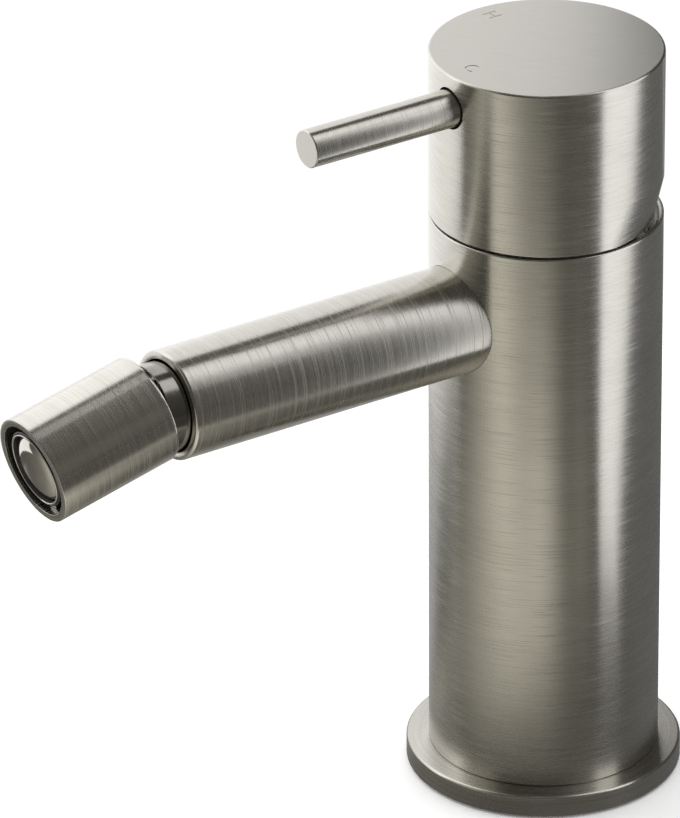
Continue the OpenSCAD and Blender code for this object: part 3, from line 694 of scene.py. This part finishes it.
def bar(width, length, x, y):
    """A cutter for one straight stroke on the cap's top."""
    return block((width, length, 2 * MARK_DEPTH), (x, y, cap_top))


stroke_gap = (MARK_W - MARK_STROKE) / 2
for aside in (-stroke_gap, stroke_gap):
    cut(cap, bar(MARK_STROKE, MARK_H, hot_x + aside, 0))
cut(cap, bar(MARK_W - MARK_STROKE, MARK_STROKE, hot_x, 0))

mark_r = MARK_H / 2
cold = turned("cold_groove", [
    (mark_r - MARK_STROKE, -MARK_DEPTH),
    (mark_r, -MARK_DEPTH),
    (mark_r, MARK_DEPTH),
    (mark_r - MARK_STROKE, MARK_DEPTH),
    (mark_r - MARK_STROKE, -MARK_DEPTH),
])
place(cold, (0, cold_y, cap_top))
cut(cold, bar(MARK_H, MARK_OPEN, mark_r, cold_y))
cut(cap, cold)
finish_shape(cap, "handle", "handle_cap")

# %% [markdown]
# ## The lever
# A slim rod with a crisp, slightly rounded end, on a thinner stud that goes into the cap. A fine dark
# ring stays open round its root. It is turned like the spout and laid down the same way.

# %% Lever
STUD_TIP = 4.05
LEVER_ROUND = 0.25

lever = turned("lever_pin", [
    (STUD_R, STUD_TIP),
    (STUD_R, LEVER_SEAT),
    (lever_r, LEVER_SEAT),
    (lever_r, lever_end),
])
round_ring(lever, lever_r, lever_end, LEVER_ROUND)
place(lever, (0, 0, lever_z), LYING)
finish_shape(lever, "handle", "lever_rod")

# %% [markdown]
# ## A small language for materials
# A material is a sheet of nodes. A wire is one output on that sheet. Python's operators add Math nodes
# to wires, so a pattern reads like the formula that it is.

# %% Wires
class Wire:
    """One output socket, with arithmetic that adds Math nodes to its sheet."""

    def __init__(self, sheet, socket):
        self.sheet = sheet
        self.socket = socket

    def maths(self, operation, *values):
        return self.sheet.node("ShaderNodeMath", {"operation": operation}, dict(enumerate(values)))

    def __add__(self, other):
        return self.maths("ADD", self, other)

    __radd__ = __add__

    def __sub__(self, other):
        return self.maths("SUBTRACT", self, other)

    def __rsub__(self, other):
        return self.maths("SUBTRACT", other, self)

    def __mul__(self, other):
        return self.maths("MULTIPLY", self, other)

    __rmul__ = __mul__

    def __truediv__(self, other):
        return self.maths("DIVIDE", self, other)

    def __rtruediv__(self, other):
        return self.maths("DIVIDE", other, self)

    def __pow__(self, other):
        return self.maths("POWER", self, other)

    def __rpow__(self, other):
        return self.maths("POWER", other, self)

    def step(self, low, high):
        """0 below low, 1 above high, and a smooth way between."""
        return self.sheet.node("ShaderNodeMapRange", {"interpolation_type": "SMOOTHSTEP"},
                               {"Value": self, "From Min": low, "From Max": high})


print("a wire also has", [name for name in vars(Wire) if not name.startswith("_")])

# %% [markdown]
# ### Sheets of nodes
# One method adds any node: its type, its settings, and the values or wires of its sockets. The others
# are short names for nodes that are used often. A Mix node has several sockets of the same name, so
# the ones for colours are picked by their numbers.

# %% Sheets
MIX_FACTOR = 0
MIX_LOW = 6
MIX_HIGH = 7
MIX_RESULT = 2


class Sheet:
    """The node tree of one material, filled by node()."""

    def __init__(self, name):
        self.material = bpy.data.materials.new(name)
        self.material.use_nodes = True
        self.tree = self.material.node_tree
        self.tree.nodes.clear()

    def node(self, kind, settings=None, sockets=None, output=0):
        made = self.tree.nodes.new(kind)
        for key, value in (settings or {}).items():
            setattr(made, key, value)
        for key, value in (sockets or {}).items():
            if isinstance(value, Wire):
                self.tree.links.new(value.socket, made.inputs[key])
            else:
                made.inputs[key].default_value = value
        return Wire(self, made.outputs[output]) if made.outputs else made

    def where(self):
        """The place on the piece, in metres."""
        return self.node("ShaderNodeTexCoord", output="Object")

    def mapped(self, **sockets):
        """The place on the piece, seen from axes that are moved, turned or scaled."""
        sockets = {"Vector": self.where(), **sockets}
        return self.node("ShaderNodeMapping", {"vector_type": "TEXTURE"}, sockets)

    def split(self, vector):
        """The three numbers of a vector."""
        axes = self.node("ShaderNodeSeparateXYZ", None, {0: vector})
        return [Wire(self, socket) for socket in axes.socket.node.outputs]

    def noise(self, vector, detail, roughness=0.5):
        return self.node("ShaderNodeTexNoise", {"noise_dimensions": "3D"},
                         {"Vector": vector, "Scale": 1, "Detail": detail, "Roughness": roughness})

    def blend(self, amount, low, high):
        return self.node("ShaderNodeMix", {"data_type": "RGBA"},
                         {MIX_FACTOR: amount, MIX_LOW: low, MIX_HIGH: high}, MIX_RESULT)

    def bump(self, height, strength, depth):
        """A normal that is tilted by a height pattern of a given depth in millimetres."""
        return self.node("ShaderNodeBump", None,
                         {"Strength": strength, "Distance": depth * MM, "Height": height})

    def surface(self, sockets):
        return self.output(self.node("ShaderNodeBsdfPrincipled", None, sockets))

    def output(self, shader):
        self.node("ShaderNodeOutputMaterial", None, {"Surface": shader})
        print(self.material.name, "is made of", len(self.tree.nodes), "nodes")
        return self.material


print("a sheet has", [name for name in vars(Sheet) if not name.startswith("_")])

# %% [markdown]
# ## Brushed steel
# The body, the handle, the spout and the nozzle were brushed while they turned, so fine lines run round
# every piece. The lines come from noise that changes fast along the axis and slowly round it. A small
# slant makes some lines cross the others. The pattern needs the piece's axis, so a Mapping node moves
# and turns the place on the piece until the axis is Z.
#
# Some lines are rougher than the rest and catch the light beside a highlight. Seen from afar all of
# them stretch each highlight along the axis, which is what the shader's anisotropy does.

# %% Brushed steel
STEEL_LIGHT = (0.60, 0.585, 0.545, 1)
STEEL_DARK = (0.52, 0.505, 0.465, 1)
FINE_LINE = 0.16
WIDE_LINE = 0.3
HAIR_LINE = 0.25
BROAD_LINE = 6
LINE_TONE = 0.35
BROAD_TONE = 0.3
TONE_RANGE = (0.32, 0.68)
HAIR_RANGE = (0.58, 0.72)
LINE_ROUGH = 0.04
FINE_HEIGHT = 0.2
WIDE_HEIGHT = 0.8
BRUSH_DEPTH = 0.02
BRUSH_STRENGTH = 0.045
TINY = 1e-12


def round_pattern(sheet, centre, lean, line, arc, slant=0.0):
    """Noise coordinates for lines round an axis: their width, their length in radii and their slant."""
    local = sheet.mapped(Location=Vector(centre) * MM, Rotation=(math.radians(lean), 0, 0))
    x, y, z = sheet.split(local)
    radius = (x * x + y * y + TINY) ** 0.5
    along = (z + radius + x * slant) / (line * MM)
    return sheet.node("ShaderNodeCombineXYZ", None, {0: along, 1: x / radius / arc, 2: y / radius / arc})


def brushed_steel(name, centre, lean, quarter_turn, arc, stretch, gloss, streak, slant):
    """Steel brushed round one axis: arc is the lines' length, streak how much rougher some lines are."""
    sheet = Sheet(name)
    fine = sheet.noise(round_pattern(sheet, centre, lean, FINE_LINE, arc), 0)
    wide = sheet.noise(round_pattern(sheet, centre, lean, WIDE_LINE, arc, slant), 0)
    hairs = sheet.noise(round_pattern(sheet, centre, lean, HAIR_LINE, arc, -slant), 0)
    broad = sheet.noise(round_pattern(sheet, centre, lean, BROAD_LINE, 1), 2)
    tone = fine * LINE_TONE + wide * LINE_TONE + broad * BROAD_TONE
    rough = gloss + fine * LINE_ROUGH + wide * LINE_ROUGH + hairs.step(*HAIR_RANGE) * streak
    height = fine * FINE_HEIGHT + wide * WIDE_HEIGHT
    return sheet.surface({
        "Base Color": sheet.blend(tone.step(*TONE_RANGE), STEEL_DARK, STEEL_LIGHT),
        "Metallic": 1.0,
        "Roughness": rough,
        "Anisotropic": stretch,
        "Anisotropic Rotation": quarter_turn,
        "Normal": sheet.bump(height, BRUSH_STRENGTH, BRUSH_DEPTH),
    })


upright = {"centre": (0, 0, 0), "lean": 0, "quarter_turn": 0.25, "stretch": 0.85, "gloss": 0.23}
upright_steel = brushed_steel("brushed_steel_upright", arc=0.35, streak=0.06, slant=0.03, **upright)
flange_steel = brushed_steel("brushed_steel_flange", arc=1.5, streak=0.02, slant=0.03, **upright)

# %% [markdown]
# ### Steel that lies along the spout
# The spout, the lever and the nozzle have the same finish round axes of their own. The shader's tangent
# follows the Z axis on its own, which is right for the upright pieces. A piece that lies along Y gets a
# very wide texture space, which turns its tangent to Y all over. A UV map with a Tangent node would do it
# too, but these pieces need no UV map for anything else.

# %% Steel that lies along the spout
WIDE_SPACE_PLACE = (-10, 0, 0)
WIDE_SPACE_SIZE = (5, 1000, 1)


def brush_along_y(piece):
    """Make the texture space so wide that the shader's tangent is the Y direction all over the piece."""
    piece.data.use_auto_texspace = False
    piece.data.texspace_location = WIDE_SPACE_PLACE
    piece.data.texspace_size = WIDE_SPACE_SIZE


level = {"quarter_turn": 0.0, "stretch": 0.6, "gloss": 0.195, "slant": 0.006}
spout_steel = brushed_steel("brushed_steel_spout", (0, 0, spout_z), LYING, arc=2.5, streak=0.1, **level)
lever_steel = brushed_steel("brushed_steel_lever", (0, 0, lever_z), LYING, arc=5.0, streak=0.06, **level)
nozzle_steel = brushed_steel("brushed_steel_nozzle", ball, nozzle_lean, arc=2.5, streak=0.08, **level)
for piece in (spout, lever, nozzle):
    brush_along_y(piece)

# %% [markdown]
# ## The satin top of the cap
# The flat top of the cap and the end of the lever have a finer, even satin, with faint straight lines.
# The lines are noise that is stretched along one direction.

# %% Satin top
SATIN_LIGHT = (0.555, 0.54, 0.505, 1)
SATIN_DARK = (0.50, 0.485, 0.45, 1)
SATIN_LINE = 0.12
SATIN_LENGTH = 6
SATIN_TURN = 55
SATIN_GRAIN = 0.6
SATIN_STRENGTH = 0.06
SATIN_GLOSS = 0.28
SATIN_ROUGH = 0.08
DRIFT_RANGE = (0.3, 0.7)


def satin_steel(name):
    sheet = Sheet(name)
    lines = sheet.mapped(Rotation=(0, 0, math.radians(SATIN_TURN)),
                         Scale=(SATIN_LENGTH * MM, SATIN_LINE * MM, SATIN_LENGTH * MM))
    grain = sheet.noise(lines, 2, SATIN_GRAIN)
    return sheet.surface({
        "Base Color": sheet.blend(grain.step(*DRIFT_RANGE), SATIN_DARK, SATIN_LIGHT),
        "Metallic": 1.0,
        "Roughness": SATIN_GLOSS + grain * SATIN_ROUGH,
        "Normal": sheet.bump(grain, SATIN_STRENGTH, BRUSH_DEPTH),
    })


satin_top = satin_steel("satin_steel_top")

# %% [markdown]
# ## The plainer finishes
# The ring and the dome are polished, with a trace of haze so that they aren't perfect mirrors. The neck
# looks darker than the steel round it, because it lies in shade between the spout and the nozzle, so it
# gets painted shade: a dark polished steel. One function makes these and all the finishes inside: the
# colour and the gloss drift between two values with a noise whose grain is given in millimetres. A single
# flat colour would be simpler, but no real surface is that even.

# %% Finishes that drift
DRIFT_DETAIL = 3
DRIFT_ROUGH = 0.55
DRIFT_DEPTH = 0.05
GLOSS_LOW = 0.85
GLOSS_DRIFT = 0.3


def simple_finish(name, low, high, metallic, rough, grain, bump=0.03):
    """A finish whose colour and gloss drift with noise of a given grain."""
    sheet = Sheet(name)
    scaled = sheet.node("ShaderNodeVectorMath", {"operation": "SCALE"},
                        {0: sheet.where(), "Scale": 1 / (grain * MM)})
    drift = sheet.noise(scaled, DRIFT_DETAIL, DRIFT_ROUGH)
    return sheet.surface({
        "Base Color": sheet.blend(drift.step(*DRIFT_RANGE), (*low, 1), (*high, 1)),
        "Metallic": metallic,
        "Roughness": rough * GLOSS_LOW + drift * (rough * GLOSS_DRIFT),
        "Normal": sheet.bump(drift, bump, DRIFT_DEPTH),
    })


# Painted shade: this dark steel stands for the shade on the neck, the clamp nut and the inside of the body's
# mouth.
painted_shade_steel = simple_finish("painted_shade_polished_steel", (0.27, 0.26, 0.24), (0.31, 0.30, 0.28),
                           metallic=1, rough=0.15, grain=2, bump=0.01)
polished_steel = simple_finish("polished_steel", (0.60, 0.58, 0.54), (0.66, 0.64, 0.60),
                               metallic=1, rough=0.09, grain=3, bump=0.01)
plain_steel = simple_finish("plain_steel", (0.48, 0.47, 0.45), (0.58, 0.57, 0.55),
                            metallic=1, rough=0.32, grain=1.2)
black_plastic = simple_finish("black_plastic", (0.010, 0.010, 0.011), (0.022, 0.022, 0.023),
                              metallic=0, rough=0.35, grain=1.0)

# %% [markdown]
# ### The pieces inside
# The pieces inside are turned brass, moulded plastic, rubber and ceramic. The CAD nodes come with plain
# materials that carry the names of the record's slots, so each one is swapped for the finish of that
# name. The clamp nut in the body's mouth gets painted shade, a dark steel in place of its brass, because
# the inside is lit through the gap under the cap and bright brass would gleam there.

# %% Finish the CAD nodes
finishes = {
    "brushed_steel": upright_steel,
    "polished_steel": polished_steel,
    "plain_steel": plain_steel,
    "black_plastic": black_plastic,
    "brass": simple_finish("turned_brass", (0.62, 0.45, 0.20), (0.76, 0.57, 0.28),
                           metallic=1, rough=0.3, grain=0.9),
    "rubber": simple_finish("black_rubber", (0.012, 0.012, 0.013), (0.03, 0.03, 0.032),
                            metallic=0, rough=0.6, grain=0.6, bump=0.1),
    "white_plastic": simple_finish("white_plastic", (0.70, 0.69, 0.66), (0.78, 0.77, 0.74),
                                   metallic=0, rough=0.38, grain=2),
    "ceramic": simple_finish("ceramic", (0.78, 0.77, 0.74), (0.85, 0.84, 0.81),
                             metallic=0, rough=0.22, grain=4, bump=0.01),
    "green_plastic": simple_finish("green_plastic", (0.05, 0.24, 0.14), (0.08, 0.31, 0.19),
                                   metallic=0, rough=0.4, grain=1.5),
}
# Painted shade: the clamp nut gets the dark steel in place of its brass.
nodes_in_painted_shade = {"cartridge_nut": painted_shade_steel}
for name, node in frame["nodes"].items():
    for slot in node.material_slots:
        slot.material = nodes_in_painted_shade.get(name, finishes[slot.material.name.split(".")[0]])
print("finishes for the record's slots:", sorted(finishes))

# %% [markdown]
# ### The outer pieces
# Most outer pieces have one material. Some faces differ, so their piece has a second slot: the cap's top
# and the lever's end are satin, the lugs are plain steel, and the ring's bore and the inside of the body's
# mouth get painted shade in black and in dark steel. Faces are picked by their place or by the way they
# face.

# %% Finish the outer pieces
MOUTH_MARGIN = 0.02
FLAT = 0.99


def set_finish(piece, *materials):
    piece.data.materials.clear()
    for material in materials:
        piece.data.materials.append(material)


def second_finish(piece, faces):
    """Give the piece's second material to some of its faces, by their numbers."""
    for index in faces:
        piece.data.polygons[index].material_index = 1
    print(piece.name, len(faces), "faces with the second finish")


set_finish(flange, flange_steel)
# The body's second slot is painted shade in dark steel for the inside of its mouth.
set_finish(body, upright_steel, painted_shade_steel)
set_finish(spout, spout_steel)
# Painted shade: the neck gets the dark steel in place of bright steel.
set_finish(neck, painted_shade_steel)
set_finish(nozzle, nozzle_steel)
set_finish(housing, black_plastic, plain_steel)
# The ring's second slot is painted shade in black for its bore.
set_finish(ring, polished_steel, black_plastic)
set_finish(dome, polished_steel)
set_finish(cap, upright_steel, satin_top)
set_finish(lever, lever_steel, satin_top)

second_finish(housing, lug_faces)
second_finish(ring, bore_faces_in_painted_shade)
# Painted shade: the inside of the body's mouth gets the dark steel.
second_finish(body, [face.index for face in body.data.polygons
                     if off_axis(face) < mouth_r + MOUTH_MARGIN
                     and face.center.z > (mouth_floor - NEAR) * MM])
second_finish(cap, [face.index for face in cap.data.polygons
                    if face.normal.z > FLAT and face.center.z > (cap_top - MARK_DEPTH / 2) * MM])
second_finish(lever, [face.index for face in lever.data.polygons if face.normal.y < -FLAT])

# %% [markdown]
# ## The studio
# Steel shows what stands round it, so the studio is built like a small light tent, and each light is
# placed by what it does on the steel. Places are counted from the body as the camera sees it: to the
# right, towards the camera, and up.

# %% Places in the studio
toward = Vector((CAMERA_PLACE.x, CAMERA_PLACE.y, 0)).normalized()
rightward = Vector((-toward.y, toward.x, 0))


def stand(right, forward, height):
    """A place in metres: right of the body, towards the camera, above the floor."""
    return rightward * right + toward * forward + Vector((0, 0, height))


print("towards the camera is", toward)

# %% [markdown]
# ### Panels of light
# A wide panel stands behind at the left and lights the left edges. A smaller one adds to it where the cap
# is brightest. A sheet hangs overhead and draws the bright line along the spout and the lever, and a
# small strip draws the one along the nozzle. They are area lights that the camera itself doesn't see.

# %% Panels of light
BACK_PLACE = (-0.12, -0.095, 0.2325)
BACK_GAZE = (0.005, 0.051, 0.2325)
BACK_SIZE = (0.364, 0.435)
BACK_LEVEL = 1.1
BRIGHTER_PLACE = (-0.166, -0.056, 0.26)
BRIGHTER_SIZE = (0.2, 0.28)
BRIGHTER_LEVEL = 0.35
SHEET_PLACE = (0.4025, 0.01, 0.61)
SHEET_SIZE = (0.62, 0.2)
SHEET_LEVEL = 1.4
SHEET_TURN = math.radians(40)
STRIP_PLACE = (-0.039, -0.021, 0.61)
STRIP_SIZE = (0.16, 0.06)
STRIP_LEVEL = 1.1


def panel(name, where, size, level):
    """An area light of a given brightness level, which faces down until it is turned."""
    bpy.ops.object.light_add(type="AREA", location=stand(*where))
    lamp = bpy.context.object
    lamp.name = name
    lamp.data.shape = "RECTANGLE"
    lamp.data.size, lamp.data.size_y = size
    lamp.data.energy = level * math.pi * size[0] * size[1]
    lamp.visible_camera = False
    print(name, "shines with", round(lamp.data.energy, 3), "W")
    return lamp


back = panel("panel_back", BACK_PLACE, BACK_SIZE, BACK_LEVEL)
gaze = stand(*BACK_GAZE) - back.location
back.rotation_euler = gaze.to_track_quat("-Z", "Y").to_euler()
brighter = panel("panel_brighter", BRIGHTER_PLACE, BRIGHTER_SIZE, BRIGHTER_LEVEL)
brighter.rotation_euler = back.rotation_euler
over = panel("sheet_over", SHEET_PLACE, SHEET_SIZE, SHEET_LEVEL)
over.rotation_euler.z = SHEET_TURN
panel("strip_over", STRIP_PLACE, STRIP_SIZE, STRIP_LEVEL)

# %% [markdown]
# ### The tent's cloth
# The cloth is a dim sphere that only reflections see, with three soft glows on it. Each glow is brightest
# in one direction and fades out with the angle from it, which a dot product measures. More lamps could
# do the same, but they would light the paper floor as well.

# %% The tent's cloth
TENT_TINT = (1.0, 0.965, 0.84)
TENT_R = 1.2
TENT_SEGMENTS = 48
TENT_RINGS = 24
TENT_LEVEL = 0.08
GLOWS = (
    {"way": (0.3, 0.2, 0.93), "fade": (0.55, 0.92), "level": 0.13},
    {"way": (-0.36, -0.85, 0.38), "fade": (0.82, 0.94), "level": 0.45},
    {"way": (0.949, 0.066, 0.309), "fade": (0.93, 0.99), "level": 0.18},
)


def only_reflections(thing, name):
    thing.name = name
    thing.visible_camera = False
    thing.visible_diffuse = False
    thing.visible_shadow = False


def lit(level, tint=(1, 1, 1)):
    """The colour of a surface that glows at a level."""
    return (*(level * part for part in tint), 1)


def glow(thing, sheet, colour):
    light = sheet.node("ShaderNodeEmission", None, {"Color": colour})
    set_finish(thing, sheet.output(light))


clear_selection()
bpy.ops.mesh.primitive_uv_sphere_add(segments=TENT_SEGMENTS, ring_count=TENT_RINGS, radius=TENT_R)
tent = bpy.context.object
only_reflections(tent, "tent_cloth")
sheet = Sheet("tent_cloth")
way = sheet.node("ShaderNodeVectorMath", {"operation": "NORMALIZE"}, {0: sheet.where()})
cloth = lit(TENT_LEVEL, TENT_TINT)
for spot in GLOWS:
    middle = Vector(spot["way"]).normalized()
    nearness = sheet.node("ShaderNodeVectorMath", {"operation": "DOT_PRODUCT"}, {0: way, 1: middle}, "Value")
    cloth = sheet.blend(nearness.step(*spot["fade"]), cloth, lit(spot["level"], TENT_TINT))
glow(tent, sheet, cloth)

# %% [markdown]
# ### The tent's table
# What an upright wall shows below the light is the table round it, so light is painted on the table. Each
# point of it first needs to know where it is: along and across a band of light, in front and to the right
# of the body, and how far in front of the back panel. Mapping nodes turn the axes for that.

# %% The tent's table
TABLE_SIZE = 2.2
TABLE_DROP = 0.0003
BAND_TURN = math.radians(54)

clear_selection()
bpy.ops.mesh.primitive_plane_add(size=TABLE_SIZE, location=(0, 0, -TABLE_DROP))
table = bpy.context.object
only_reflections(table, "tent_table")
sheet = Sheet("tent_table")
camera_turn = math.atan2(toward.y, toward.x)
along, across = sheet.split(sheet.mapped(Rotation=(0, 0, camera_turn - BAND_TURN)))[:2]
forward, right = sheet.split(sheet.mapped(Rotation=(0, 0, camera_turn)))[:2]
leftward = 0 - right
backward = 0 - forward
gaze.normalize()
panel_plane = gaze.dot(back.location)
from_panel = right * gaze.dot(rightward) + forward * gaze.dot(toward) - panel_plane
print("the back panel's plane lies", round(-panel_plane, 3), "m behind the body's axis")

# %% [markdown]
# ### Dim light on the table
# The table is dim, a little brighter at the left and at the rear, and brightest of these at the rear
# left. Each region is a mask from 0 to 1 with a soft edge, and a Mix node lays its light over the rest.

# %% Dim light on the table
TABLE_LEVEL = 0.11
LEFT_LEVEL = 0.12
LEFT_START = (0.0, 0.04)
REAR_LEVEL = 0.17
REAR_START = (-0.04, 0.01)
REAR_SHARE = 0.8
REAR_LEFT_LEVEL = 0.42
REAR_LEFT_START = (-0.03, 0.03)
PANEL_EDGE = (-0.006, 0.0)

in_front = from_panel.step(*PANEL_EDGE)
light = sheet.blend(leftward.step(*LEFT_START), lit(TABLE_LEVEL, TENT_TINT), lit(LEFT_LEVEL, TENT_TINT))
in_rear_left = leftward.step(*REAR_LEFT_START) * in_front
rear_light = sheet.blend(in_rear_left, lit(REAR_LEVEL), lit(REAR_LEFT_LEVEL))
behind = right.maths("MINIMUM", right, 0) * REAR_SHARE - forward
light = sheet.blend(behind.step(*REAR_START), light, rear_light)
print("dim light takes", len(sheet.tree.nodes), "nodes")

# %% [markdown]
# ### Pools, spill and band of light
# Round pools of light lie on the table, some of the back panel's light spills in front of it, and a band
# of light widens to the front left. The walls mirror them as the soft stripes of the photograph. They
# are laid over the dim light one after the other, and the band comes last.

# %% Pools, spill and band of light
POOLS = (
    {"ahead": 0.138, "aside": -0.014, "reach": 0.098, "level": 1.9},
    {"ahead": 0.12, "aside": 0.078, "reach": 0.065, "level": 0.62},
    {"ahead": -0.012, "aside": -0.052, "reach": 0.04, "level": 0.42},
)
SPILL_LEVEL = 0.62
SPILL_FADE = (0.0, 0.035)
SPILL_SIDE = (0.02, 0.09)
BAND_LEVEL = 0.98
BAND_ASIDE = 0.052
BAND_REACH = 0.13
BAND_WIDENS = 0.57
BAND_START = (0.042, 0.08)


def fading(distance, reach):
    """1 in the middle and 0 at the reach, with a soft end."""
    left_over = 1 - distance.maths("ABSOLUTE", distance) / reach
    return left_over.maths("MAXIMUM", left_over, 0) ** 2


for pool in POOLS:
    from_pool = ((forward - pool["ahead"]) ** 2 + (right - pool["aside"]) ** 2) ** 0.5
    light = sheet.blend(fading(from_pool, pool["reach"]), light, lit(pool["level"], TENT_TINT))
in_spill = (1 - from_panel.step(*SPILL_FADE)) * in_front * backward.step(*SPILL_SIDE)
light = sheet.blend(in_spill, light, lit(SPILL_LEVEL))
in_band = fading(across - BAND_ASIDE, BAND_REACH + along * BAND_WIDENS) * along.step(*BAND_START)
glow(table, sheet, sheet.blend(in_band, light, lit(BAND_LEVEL, TENT_TINT)))

# %% [markdown]
# ### The card at the right
# A glowing card stands close at the right and draws the sharp bright band on the body and the cap. Its
# lower edge is shorter than its upper one, so the band grows narrow towards the foot. A plane is added,
# and its four corners are moved to the ends of the two edges.

# %% The card at the right
CARD_LEVEL = 1.4
CARD_TURN = math.radians(77)
CARD_AWAY = 0.08
CARD_LOW = {"ends": (-0.0435, -0.017), "height": 0.018}
CARD_HIGH = {"ends": (-0.0405, 0.056), "height": 0.26}

outward = toward * math.cos(CARD_TURN) + rightward * math.sin(CARD_TURN)
sideways = Vector((-outward.y, outward.x, 0))
clear_selection()
bpy.ops.mesh.primitive_plane_add(size=1)
card = bpy.context.object
only_reflections(card, "card_right")
corners = [(end, edge["height"]) for edge in (CARD_LOW, CARD_HIGH) for end in edge["ends"]]
for corner, (end, height) in zip(card.data.vertices, corners):
    corner.co = outward * CARD_AWAY + sideways * end + Vector((0, 0, height))
glow(card, Sheet("card_right"), lit(CARD_LEVEL))

# %% [markdown]
# ### Floor and sky
# The floor is white paper under an even white sky. It keeps a soft shadow of the mixer, and the camera
# sees it in place of the tent.

# %% Floor and sky
FLOOR_SIZE = 8
FLOOR_DROP = 0.0006
PAPER = (0.97, 0.97, 0.97, 1)
SKY_STRENGTH = 1

clear_selection()
bpy.ops.mesh.primitive_plane_add(size=FLOOR_SIZE, location=(0, 0, -FLOOR_DROP))
floor = bpy.context.object
floor.name = "studio_floor"
sheet = Sheet("studio_paper")
paper = sheet.node("ShaderNodeBsdfDiffuse", None, {"Color": PAPER})
set_finish(floor, sheet.output(paper))

sky = bpy.data.worlds.new("white_sky")
bpy.context.scene.world = sky
sky.use_nodes = True
sky_light = sky.node_tree.nodes["Background"]
sky_light.inputs["Color"].default_value = (1, 1, 1, 1)
sky_light.inputs["Strength"].default_value = SKY_STRENGTH
print("a floor of", FLOOR_SIZE, "m under a sky of strength", SKY_STRENGTH)

# %% [markdown]
# ## Finish
# The Standard view keeps the paper white and the steel's greys as they were lit.

# %% Finish
bpy.context.scene.view_settings.view_transform = "Standard"
